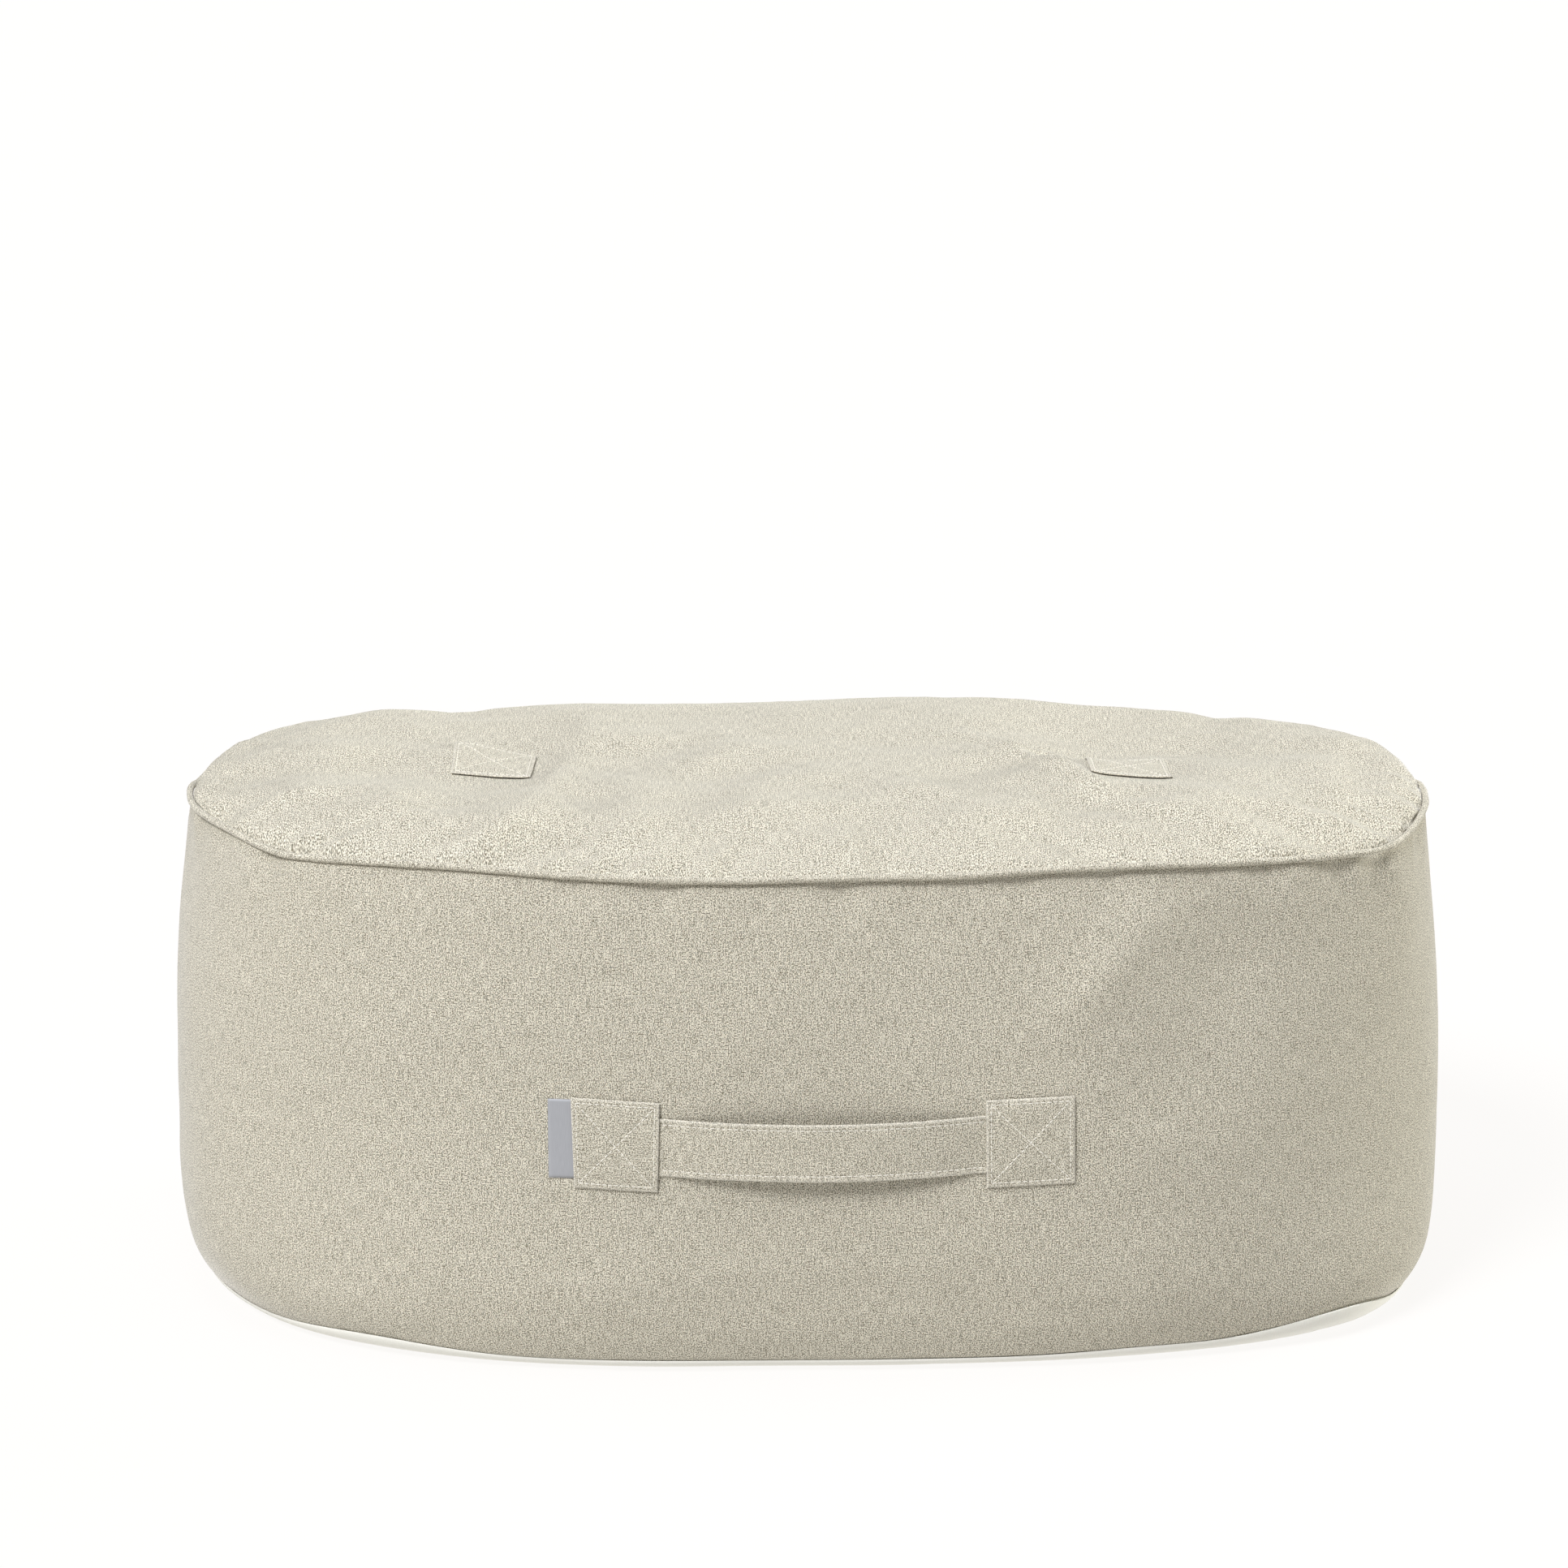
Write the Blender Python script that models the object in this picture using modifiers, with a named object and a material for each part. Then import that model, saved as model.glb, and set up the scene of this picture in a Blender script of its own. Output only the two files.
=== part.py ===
"""Oblong pouf: a bead-filled body in a fitted cloth cover, with a carrying strap.

Units are metres and +Z is up. The pouf stands on z = 0, its long side runs along X and
the strap is on the -Y side. The origin is the middle of its footprint.

A place round the pouf is a turn, seen from above: 0 degrees at +X, 90 at the back, 180
at -X and 270 in the middle of the front. The body is built from three stretches of one
outline: the crown inside the top seam, the band down its side, and the underside inside
the base panel.
"""

import math
from collections import namedtuple

import bmesh
import bpy
from mathutils import Vector
from mathutils.bvhtree import BVHTree

# ---------------------------------------------------------------- driving dimensions
LENGTH = 1.200  # across the widest part of the band
DEPTH = 0.700
SEAM_HEIGHT = 0.460  # of the top seam above the floor, at the back
SEAM_RISE = 0.0055  # of that seam from the back to the front
SEAM_DIP = 0.0060  # and its fall all along the back
CROWN = 0.0315  # rise of the top panel over its seam
CROWN_POWER = 5.6  # higher is flatter in the middle and rounder at the seam
END_POWER = 11.0  # added to it towards the two ends
EDGE_POWER = 10.0  # higher keeps the seam's ups and downs nearer the seam

CLOTH = 0.0020  # a hemmed panel of the cover cloth
WEBBING = 0.0025  # the strap: two layers of the cover cloth
TAG = 0.0012  # the folded label
SEAT = 0.0004  # clearance between touching pieces
LAYER_SEAT = 0.0009  # and where one sewn-on piece bends over another
PIPING = 0.0035  # radius of the welt in the top seam

# The channel that the welt lies in, from the top panel to the band: inwards of the
# welt's centre line and down from it.
Channel = namedtuple("Channel", "inset drop")
PANEL_EDGE = Channel(inset=0.0052, drop=-0.0016)
CHANNEL_FLOOR = Channel(inset=0.0050, drop=0.0010)
BAND_EDGE = Channel(inset=0.0024, drop=0.0044)
BAND_TOP = 0.010  # drop to where the band has its full section

TURNS = 96  # stations round the pouf
CROWN_RINGS = 16
CROWN_BUNCHING = 1.6  # more than 1 draws the crown's rings towards the seam
BAND_RINGS = 13
BAND_BUNCHING = 1.25  # more than 1 draws the band's rings towards the top seam
UNDER_RINGS = 4

# The band, from the top seam down: how far it stands out past the seam's own outline,
# and how square that outline is there (2 is an ellipse).
Section = namedtuple("Section", "share outset squareness")
SECTIONS = (
    Section(share=1.00, outset=0.000, squareness=2.56),
    Section(share=0.90, outset=0.006, squareness=2.58),
    Section(share=0.70, outset=0.0145, squareness=2.64),
    Section(share=0.45, outset=0.0185, squareness=2.72),
    Section(share=0.20, outset=0.0195, squareness=2.78),
    Section(share=0.09, outset=0.0170, squareness=2.80),
    Section(share=0.03, outset=-0.001, squareness=2.80),
    Section(share=0.00, outset=-0.014, squareness=2.80),
)
BULGE = max(section.outset for section in SECTIONS)
CONTACT_OUTSET = -0.030  # where the base panel meets the floor

# Small kinks of the top seam: its shift outwards and upwards, and how far they reach.
KINK_FADE = 0.55  # share of the band's height at which they have died away
Kink = namedtuple("Kink", "turn outward upward reach")
SEAM_KINKS = (
    Kink(turn=196, outward=-0.010, upward=0.001, reach=6),
    Kink(turn=208, outward=0.004, upward=0.000, reach=4),
    Kink(turn=222, outward=0.000, upward=0.003, reach=9),
    Kink(turn=254, outward=0.003, upward=-0.003, reach=15),
    Kink(turn=309, outward=-0.003, upward=0.004, reach=9),
    Kink(turn=334, outward=0.004, upward=-0.004, reach=6),
    Kink(turn=340, outward=0.007, upward=-0.006, reach=4),
    Kink(turn=26, outward=0.004, upward=-0.003, reach=6),
    Kink(turn=60, outward=-0.003, upward=0.003, reach=9),
    Kink(turn=112, outward=0.002, upward=-0.003, reach=12),
    Kink(turn=160, outward=0.008, upward=0.000, reach=8),
)

# Broad unevenness of the filled band, at a share of the seam's height.
Swell = namedtuple("Swell", "turn share outward reach spread")
SWELLS = (
    Swell(turn=198, share=0.05, outward=-0.008, reach=6, spread=0.10),
    Swell(turn=212, share=0.78, outward=0.004, reach=7, spread=0.16),
    Swell(turn=225, share=0.02, outward=0.005, reach=9, spread=0.08),
    Swell(turn=244, share=0.04, outward=0.008, reach=12, spread=0.10),
    Swell(turn=276, share=0.02, outward=0.003, reach=12, spread=0.06),
    Swell(turn=313, share=0.70, outward=0.005, reach=7, spread=0.18),
    Swell(turn=334, share=0.05, outward=0.007, reach=6, spread=0.09),
    Swell(turn=347, share=0.10, outward=0.004, reach=7, spread=0.12),
    Swell(turn=52, share=0.60, outward=0.005, reach=10, spread=0.20),
    Swell(turn=95, share=0.35, outward=-0.004, reach=14, spread=0.18),
    Swell(turn=140, share=0.55, outward=0.004, reach=9, spread=0.18),
    Swell(turn=168, share=0.30, outward=-0.003, reach=8, spread=0.16),
)

# Height of the seam between band and base panel, and where it rides up.
BASE_SEAM = 0.012
Lift = namedtuple("Lift", "turn rise reach")
BASE_LIFTS = (
    Lift(turn=333, rise=0.022, reach=5),
    Lift(turn=315, rise=0.005, reach=6),
    Lift(turn=216, rise=0.009, reach=6),
    Lift(turn=154, rise=0.012, reach=7),
    Lift(turn=32, rise=0.010, reach=7),
)

# Top panel: where the filling is pulled down, and the folds that run between. A fold
# runs from its start by its middle to its end, and a sunk one has a negative height.
Dimple = namedtuple("Dimple", "x y depth reach_x reach_y")
DIMPLES = (
    Dimple(x=-0.265, y=-0.030, depth=0.020, reach_x=0.085, reach_y=0.090),
    Dimple(x=0.305, y=0.060, depth=0.021, reach_x=0.095, reach_y=0.100),
    Dimple(x=-0.350, y=0.230, depth=0.009, reach_x=0.070, reach_y=0.070),
    Dimple(x=-0.130, y=0.190, depth=0.007, reach_x=0.100, reach_y=0.100),
    Dimple(x=0.360, y=0.235, depth=0.010, reach_x=0.120, reach_y=0.070),
    Dimple(x=-0.200, y=0.265, depth=0.007, reach_x=0.070, reach_y=0.060),
)
Fold = namedtuple("Fold", "start middle end height width")
TOP_FOLDS = (
    Fold((0.150, 0.130), (0.237, -0.074), (0.370, -0.216), height=0.007, width=0.030),
    Fold((-0.205, 0.160), (-0.222, 0.000), (-0.300, -0.280), height=0.005, width=0.030),
    Fold((-0.206, -0.200), (-0.203, -0.260), (-0.200, -0.310), height=-0.004, width=0.018),
    Fold((-0.050, -0.160), (-0.045, -0.220), (-0.040, -0.290), height=-0.003, width=0.022),
    Fold((0.220, -0.300), (0.265, -0.305), (0.310, -0.300), height=-0.004, width=0.018),
)

# Pieces sewn on. Places are on the front face (x, z) or on the top (x, y).
STRAP_WIDTH = 0.054
STRAP_BOW = 0.014  # room for the fingers behind the middle of the strap
STRAP_SAG = 0.0015
STRAP_DROP = 0.0013  # of its middle under the middles of the patches
STRAP_TUCK = 0.050  # length of each end under its patch
STRAP_FREE = 0.006  # from a patch's edge to where the strap leaves the band
# tilt turns a patch's rows and lean its columns; taper narrows its foot, bow lifts its top.
Patch = namedtuple("Patch", "name x level tilt lean width height taper bow")
STRAP_PATCHES = (
    Patch("handle_patch_left", x=-0.1705, level=0.2225, tilt=-2.5, lean=0.0,
          width=0.077, height=0.083, taper=0.03, bow=0.000),
    Patch("handle_patch_right", x=0.1975, level=0.2250, tilt=1.8, lean=1.0,
          width=0.079, height=0.081, taper=0.00, bow=0.002),
)
TOP_PATCHES = (
    Patch("top_patch_left", x=-0.2955, level=-0.0060, tilt=-11.0, lean=0.0,
          width=0.078, height=0.085, taper=0.02, bow=-0.002),
    Patch("top_patch_right", x=0.3005, level=-0.0430, tilt=7.0, lean=1.0,
          width=0.077, height=0.085, taper=0.00, bow=0.000),
)
PATCH_CELLS = (9, 9)
PATCH_STIFFNESS = 3  # passes in which a patch bridges the hollows under it
PATCH_CLEARANCE = 1.15  # cells round each point in which it clears what lies under it
STRAP_CELLS = (40, 4)
LABEL_CELLS = (4, 8)
LABEL_WIDTH = 0.0215  # what shows past the patch
LABEL_HEIGHT = 0.073
LABEL_TUCK = 0.006
LABEL_LEVEL = 0.227

TO_BACK = Vector((0, 1, 0))  # the ways in which pieces are laid on the body
DOWN = Vector((0, 0, -1))

# ---------------------------------------------------------------- colours
Finish = namedtuple("Finish", "red green blue roughness")
COVER_CLOTH = Finish(red=0.57, green=0.52, blue=0.44, roughness=0.92)
BASE_CLOTH = Finish(red=0.85, green=0.84, blue=0.77, roughness=0.90)
LABEL_SATIN = Finish(red=0.49, green=0.49, blue=0.51, roughness=0.45)


# ---------------------------------------------------------------- helpers
def material(name, finish):
    """A new opaque material of this finish."""
    made = bpy.data.materials.new(name)
    made.use_nodes = True
    shader = made.node_tree.nodes["Principled BSDF"]
    shader.inputs["Base Color"].default_value = (*finish[:3], 1.0)
    shader.inputs["Roughness"].default_value = finish.roughness
    shader.inputs["Metallic"].default_value = 0.0
    return made


def add_object(name, data, finish, collection):
    """An object for data, finished, linked and smooth."""
    made = bpy.data.objects.new(name, data)
    made.data.materials.append(material(name, finish))
    collection.objects.link(made)
    return made


def mesh_from(bm, name):
    """The bmesh as a smooth mesh with its faces turned outwards."""
    bmesh.ops.recalc_face_normals(bm, faces=bm.faces)
    mesh = bpy.data.meshes.new(name)
    bm.to_mesh(mesh)
    bm.free()
    mesh.shade_smooth()
    return mesh


def thicken(made, thickness, offset):
    """Turn an open sheet into a closed one of this thickness."""
    solid = made.modifiers.new("thickness", "SOLIDIFY")
    solid.thickness = thickness
    solid.offset = offset


def hump(distance, reach):
    """1 at no distance, falling smoothly to nothing past about twice the reach."""
    return math.exp(-0.5 * (distance / reach) ** 2)


def turn_between(a, b):
    """The shorter way round from turn b to turn a, in degrees."""
    return (a - b + 180.0) % 360.0 - 180.0


def ease(t):
    """0 to 1 with level ends."""
    t = min(1.0, max(0.0, t))
    return t * t * (3.0 - 2.0 * t)


# ---------------------------------------------------------------- the body's surface
def outline(turn, outset, squareness):
    """A point of the plan outline, a rounded oblong, at this turn."""
    way = Vector((math.cos(math.radians(turn)), math.sin(math.radians(turn))))
    across = abs(way.x) / (LENGTH / 2 - BULGE + outset)
    along = abs(way.y) / (DEPTH / 2 - BULGE + outset)
    return way / (across ** squareness + along ** squareness) ** (1 / squareness)


def section_at(share):
    """Outset and squareness at this share of the seam's height, smoothly between."""
    for upper, lower in zip(SECTIONS, SECTIONS[1:]):
        if share >= lower.share:
            t = (share - lower.share) / (upper.share - lower.share)
            outset = lower.outset + (upper.outset - lower.outset) * t
            return outset, lower.squareness + (upper.squareness - lower.squareness) * t
    return SECTIONS[-1].outset, SECTIONS[-1].squareness


def seam_shift(turn):
    """How far the top seam is pushed outwards and upwards here."""
    outward = 0.0
    back = math.sin(math.radians(turn))
    upward = SEAM_RISE * (1.0 - back) / 2 - SEAM_DIP * ease(back * 3)
    for kink in SEAM_KINKS:
        amount = hump(turn_between(turn, kink.turn), kink.reach)
        outward += kink.outward * amount
        upward += kink.upward * amount
    return outward, upward


def seam_point(turn):
    """The welt's centre line."""
    outward, upward = seam_shift(turn)
    flat = outline(turn, outward, SECTIONS[0].squareness)
    return Vector((flat.x, flat.y, SEAM_HEIGHT + upward))


def swell(turn, share):
    """How far the filling pushes the band outwards here."""
    return sum(each.outward * hump(turn_between(turn, each.turn), each.reach)
               * hump(share - each.share, each.spread) for each in SWELLS)


def distance_to_run(point, start, end):
    """From a point to the straight run between two others."""
    run = end - start
    t = min(1.0, max(0.0, (point - start).dot(run) / run.length_squared))
    return (point - start - run * t).length


def relief(x, y):
    """Rise of the top panel over its plain crown."""
    height = 0.0
    for dimple in DIMPLES:
        across = (x - dimple.x) / dimple.reach_x
        along = (y - dimple.y) / dimple.reach_y
        height -= dimple.depth * hump(math.hypot(across, along), 1.0)
    for fold in TOP_FOLDS:
        start, middle, end = (Vector(place) for place in fold[:3])
        near = min(distance_to_run(Vector((x, y)), start, middle),
                   distance_to_run(Vector((x, y)), middle, end))
        height += fold.height * hump(near, fold.width)
    return height


def beside_welt(turn, channel):
    """A point of the channel that the welt lies in."""
    edge = seam_point(turn)
    flat = Vector(edge[:2])
    flat *= 1.0 - channel.inset / flat.length
    return Vector((flat.x, flat.y, edge.z - channel.drop))


def crown_point(turn, reach):
    """A point of the top panel, from its middle (reach 0) to beside the welt (1)."""
    edge = beside_welt(turn, PANEL_EDGE)
    level = SEAM_HEIGHT - PANEL_EDGE.drop
    x = edge.x * reach
    y = edge.y * reach
    power = CROWN_POWER + END_POWER * abs(math.cos(math.radians(turn))) ** 3
    rise = CROWN * (1.0 - reach ** power) + relief(x, y) * (1.0 - reach ** 6)
    return Vector((x, y, level + rise + (edge.z - level) * reach ** EDGE_POWER))


def band_point(turn, share):
    """A point of the band, from under the welt (share 1) down to the floor (0)."""
    outset, squareness = section_at(share)
    outward, upward = seam_shift(turn)
    near_seam = ease((share - KINK_FADE) / (1.0 - KINK_FADE))
    outset += outward * near_seam + swell(turn, share) * ease((1.0 - share) * 8)
    flat = outline(turn, outset, squareness)
    return Vector((flat.x, flat.y, share * SEAM_HEIGHT + upward * near_seam))


def base_seam(turn):
    """Height of the seam between band and base panel."""
    return BASE_SEAM + sum(lift.rise * hump(turn_between(turn, lift.turn), lift.reach)
                           for lift in BASE_LIFTS)


def base_point(turn, fall, inset):
    """A point of the base panel: fall 0 at its seam, 1 where it meets the floor.

    inset moves the point inwards from the panel's outer face, into the filling.
    """
    seam = base_seam(turn)
    outset, squareness = section_at(seam / SEAM_HEIGHT)
    pushed = swell(turn, seam / SEAM_HEIGHT)
    angle = fall * math.pi / 2
    reach = CONTACT_OUTSET + pushed + (outset - CONTACT_OUTSET) * math.cos(angle)
    flat = outline(turn, reach - inset * math.cos(angle), squareness)
    z = seam * (1.0 - math.sin(angle)) + inset * math.sin(angle)
    return Vector((flat.x, flat.y, z))


def body_rings():
    """A function of the turn for each ring of the body, from the crown to the underside."""
    rings = [lambda turn, r=1 - (1 - i / CROWN_RINGS) ** CROWN_BUNCHING: crown_point(turn, r)
             for i in range(1, CROWN_RINGS + 1)]
    rings.append(lambda turn: beside_welt(turn, CHANNEL_FLOOR))
    rings.append(lambda turn: beside_welt(turn, BAND_EDGE))
    top_share = 1.0 - BAND_TOP / SEAM_HEIGHT

    def band_ring(step):
        def place(turn):
            low_share = (base_seam(turn) + LAYER_SEAT) / SEAM_HEIGHT
            return band_point(turn, low_share + (top_share - low_share) * (1 - step))
        return place

    steps = [i / (BAND_RINGS - 1) for i in range(BAND_RINGS)]
    rings += [band_ring(1 - (1 - step) ** BAND_BUNCHING) for step in steps]
    lining = CLOTH + SEAT
    rings.append(lambda turn: base_point(turn, 0.0, lining) + Vector((0, 0, LAYER_SEAT)))
    rings += [lambda turn, f=i / UNDER_RINGS: base_point(turn, f, lining)
              for i in range(1, UNDER_RINGS + 1)]
    return rings


# ---------------------------------------------------------------- pieces
def make_body(collection):
    """The filled cover: a round primitive with each of its rings put in its place."""
    rings = body_rings()
    bands = len(rings) + 1
    bm = bmesh.new()
    bmesh.ops.create_uvsphere(bm, u_segments=TURNS, v_segments=bands, radius=1.0)
    for vert in bm.verts:
        row = round(math.acos(max(-1.0, min(1.0, vert.co.z))) / math.pi * bands)
        if row == 0:
            vert.co = Vector((0.0, 0.0, crown_point(0.0, 0.0).z))
        elif row == bands:
            vert.co = Vector((0.0, 0.0, CLOTH + SEAT))
        else:
            vert.co = rings[row - 1](math.degrees(math.atan2(vert.co.y, vert.co.x)) % 360)
    return add_object("filled_cover", mesh_from(bm, "filled_cover"), COVER_CLOTH, collection)


def make_base(collection):
    """The base panel: a flat disc on the floor with its edge turned up to the seam."""
    bm = bmesh.new()
    bmesh.ops.create_circle(bm, cap_ends=True, segments=TURNS, radius=1.0)
    turns = {vert: math.degrees(math.atan2(vert.co.y, vert.co.x)) % 360
             for vert in bm.verts}
    edge = [e for e in bm.edges if e.is_boundary]
    for vert, turn in turns.items():
        vert.co = base_point(turn, 1.0, 0.0)
    for i in range(UNDER_RINGS - 1, -1, -1):
        made = bmesh.ops.extrude_edge_only(bm, edges=edge)["geom"]
        edge = [e for e in made if isinstance(e, bmesh.types.BMEdge) and e.is_boundary]
        fresh = {}
        for vert in (v for v in made if isinstance(v, bmesh.types.BMVert)):
            below = next(e.other_vert(vert) for e in vert.link_edges
                         if e.other_vert(vert) in turns)
            fresh[vert] = turns[below]
            vert.co = base_point(fresh[vert], i / UNDER_RINGS, 0.0)
        turns = fresh
    mesh = mesh_from(bm, "base_panel")
    if mesh.polygons[0].normal.z > 0:
        mesh.flip_normals()
    made = add_object("base_panel", mesh, BASE_CLOTH, collection)
    thicken(made, CLOTH, -1.0)
    return made


def make_piping(collection):
    """The welt: a closed round tube along the top seam."""
    curve = bpy.data.curves.new("top_piping", "CURVE")
    curve.dimensions = "3D"
    curve.bevel_depth = PIPING
    curve.bevel_resolution = 2
    line = curve.splines.new("POLY")
    line.points.add(TURNS - 1)
    for i, point in enumerate(line.points):
        point.co = (*seam_point(360.0 * i / TURNS), 1.0)
    line.use_cyclic_u = True
    line.use_smooth = True
    return add_object("top_piping", curve, COVER_CLOTH, collection)


def surface_of(made):
    """The evaluated surface of an object, for laying the next piece on it."""
    return BVHTree.FromObject(made, bpy.context.evaluated_depsgraph_get())


def lay(surfaces, start, way, spread):
    """The highest place where a piece comes to lie on any of these surfaces.

    It looks from start along way; spread is how far round it looks for the pieces that
    lie on the body, so that a sheet clears their edges.
    """
    side = way.orthogonal().normalized() * spread
    other = way.cross(side)
    body, *layers = surfaces
    nearest = body.ray_cast(start, way)[3] - SEAT
    looks = [side * a + other * b for a in (-1, 0, 1) for b in (-1, 0, 1)]
    for layer in layers:
        for look in looks:
            distance = layer.ray_cast(start + look, way)[3]
            if distance is not None:
                nearest = min(nearest, distance - LAYER_SEAT)
    return start + way * nearest


def stiffen(bm, way, passes):
    """Let a sheet that was laid along way, and sewn down at its edges, bridge hollows."""
    for _ in range(passes):
        lifts = {}
        for vert in (v for v in bm.verts if not v.is_boundary):
            beside = [edge.other_vert(vert).co.dot(way) for edge in vert.link_edges]
            lifts[vert] = vert.co.dot(way) - sum(beside) / len(beside)
        for vert, lift in lifts.items():
            vert.co -= way * max(0.0, lift)


def sheet(name, cells, place, thickness, finish, collection, way=None):
    """A sheet whose points place puts, thickened away from the body.

    cells are counted along and across, and place takes u and v from -1 to 1 and gives
    the point on the sheet's inner face. A stiff sheet also gives the way it was laid.
    """
    bm = bmesh.new()
    bmesh.ops.create_grid(bm, x_segments=cells[0], y_segments=cells[1], size=1.0)
    for vert in bm.verts:
        vert.co = place(vert.co.x, vert.co.y)
    if way:
        stiffen(bm, way, PATCH_STIFFNESS)
    mesh = bpy.data.meshes.new(name)
    bm.to_mesh(mesh)
    bm.free()
    mesh.shade_smooth()
    made = add_object(name, mesh, finish, collection)
    thicken(made, thickness, 1.0)
    return made


def strap_line(x):
    """Height of the strap's middle and its distance from the band at this x."""
    left, right = STRAP_PATCHES
    start = left.x + left.width / 2 + STRAP_FREE
    end = right.x - right.width / 2 - STRAP_FREE
    t = min(1.0, max(0.0, (x - start) / (end - start)))
    level = left.level + (right.level - left.level) * t - STRAP_SAG * 4 * t * (1 - t)
    return level - STRAP_DROP, STRAP_BOW * 4 * t * (1 - t)


def make_strap(body, collection):
    """The carrying strap: flat under its patches and bowed out between them."""
    left, right = STRAP_PATCHES
    start = left.x + left.width / 2 - STRAP_TUCK
    end = right.x - right.width / 2 + STRAP_TUCK
    ground = surface_of(body)

    def place(u, v):
        x = start + (end - start) * (u + 1) / 2
        level, stand_off = strap_line(x)
        edge = level + v * STRAP_WIDTH / 2
        middle = lay([ground], Vector((x, -DEPTH, level)), TO_BACK, 0.0)
        here = lay([ground], Vector((x, -DEPTH, edge)), TO_BACK, 0.0)
        if stand_off:
            here.y = min(here.y, middle.y - stand_off)
        return here

    return sheet("handle_strap", STRAP_CELLS, place, WEBBING, COVER_CLOTH, collection)


def make_label(body, collection):
    """The bare folded tag at the outer edge of the left strap patch."""
    left = STRAP_PATCHES[0]
    inner = left.x - left.width / 2 + LABEL_TUCK
    outer = left.x - left.width / 2 - LABEL_WIDTH
    ground = surface_of(body)

    def place(u, v):
        x = (inner + outer) / 2 + u * (inner - outer) / 2
        z = LABEL_LEVEL + v * LABEL_HEIGHT / 2
        return lay([ground], Vector((x, -DEPTH, z)), TO_BACK, 0.0)

    return sheet("label_tab", LABEL_CELLS, place, TAG, LABEL_SATIN, collection)


def make_patch(patch, surfaces, way, collection):
    """A square patch laid back on the band or down on the top, over what lies there."""
    tilt = math.radians(patch.tilt)
    lean = math.radians(patch.lean)
    step = PATCH_CLEARANCE * max(patch.width, patch.height) / PATCH_CELLS[0]

    def place(u, v):
        across = u * patch.width / 2 * (1 + patch.taper * v)
        along = v * patch.height / 2 + patch.bow * (1 - u * u)
        x = patch.x + across * math.cos(tilt) - along * math.sin(lean)
        level = patch.level + across * math.sin(tilt) + along * math.cos(lean)
        start = Vector((x, level, LENGTH) if way is DOWN else (x, -DEPTH, level))
        return lay(surfaces, start, way, step)

    return sheet(patch.name, PATCH_CELLS, place, CLOTH, COVER_CLOTH, collection, way)


def centre_footprint(pieces, anchor):
    """Stand the origin in the middle of the finished pouf's footprint."""
    bpy.context.view_layer.update()
    graph = bpy.context.evaluated_depsgraph_get()
    corners = [piece.matrix_world @ Vector(corner) for piece in pieces
               for corner in piece.evaluated_get(graph).bound_box]
    middle_x = (min(c.x for c in corners) + max(c.x for c in corners)) / 2
    middle_y = (min(c.y for c in corners) + max(c.y for c in corners)) / 2
    anchor.location = (-middle_x, -middle_y, 0.0)


def main():
    """Build the pouf."""
    for old in list(bpy.data.objects):
        bpy.data.objects.remove(old, do_unlink=True)
    collection = bpy.data.collections.new("oblong_pouf")
    bpy.context.scene.collection.children.link(collection)
    anchor = bpy.data.objects.new("pouf", None)
    collection.objects.link(anchor)

    body = make_body(collection)
    pieces = [body, make_base(collection), make_piping(collection)]
    strap = make_strap(body, collection)
    label = make_label(body, collection)
    bpy.context.view_layer.update()
    front = [surface_of(piece) for piece in (body, strap, label)]
    pieces += [strap, label]
    pieces += [make_patch(patch, front, TO_BACK, collection) for patch in STRAP_PATCHES]
    pieces += [make_patch(patch, front[:1], DOWN, collection) for patch in TOP_PATCHES]
    for piece in pieces:
        piece.parent = anchor
    centre_footprint(pieces, anchor)


main()
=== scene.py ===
"""Oblong pouf: a filled cloth cover with a corded top seam, an off-white base and a carrying strap."""

import logging
import math
from collections.abc import Callable
from dataclasses import dataclass
from enum import Enum

import bmesh
import bpy
import numpy as np
from mathutils import Matrix
from mathutils import Vector
from mathutils import noise
from mathutils.bvhtree import BVHTree


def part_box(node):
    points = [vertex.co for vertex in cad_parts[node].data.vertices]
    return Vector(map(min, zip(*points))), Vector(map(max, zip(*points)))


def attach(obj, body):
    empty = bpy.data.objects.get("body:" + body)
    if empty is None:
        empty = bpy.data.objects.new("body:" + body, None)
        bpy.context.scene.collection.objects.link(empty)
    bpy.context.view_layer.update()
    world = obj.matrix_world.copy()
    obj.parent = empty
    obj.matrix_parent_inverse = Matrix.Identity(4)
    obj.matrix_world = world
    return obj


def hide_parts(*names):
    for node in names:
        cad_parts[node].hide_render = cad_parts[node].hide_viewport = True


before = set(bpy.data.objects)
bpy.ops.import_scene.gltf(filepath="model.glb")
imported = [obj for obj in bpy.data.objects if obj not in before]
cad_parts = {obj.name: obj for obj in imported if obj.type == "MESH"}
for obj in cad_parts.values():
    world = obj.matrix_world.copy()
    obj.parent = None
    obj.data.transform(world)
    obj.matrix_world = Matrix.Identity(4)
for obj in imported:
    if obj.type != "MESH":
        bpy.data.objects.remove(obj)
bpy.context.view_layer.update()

LOG = logging.getLogger("pouf")
CLOTH_MAP = "cloth"
HEM_LAYER = "hem"
MM = 0.001
TINY = 1e-6
CREASE_FADE = 0.7
STRAIGHT_START = np.array((0.11, 0.53))
TURNED_START = np.array((0.37, 0.21))
CORNERS = ((-1, -1), (1, -1), (1, 1), (-1, 1))

Array = np.ndarray
Piece = bpy.types.Object
Shape = bmesh.types.BMesh
Colour = tuple[float, float, float, float]
Places = Callable[[Array, Array], Array]


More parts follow.
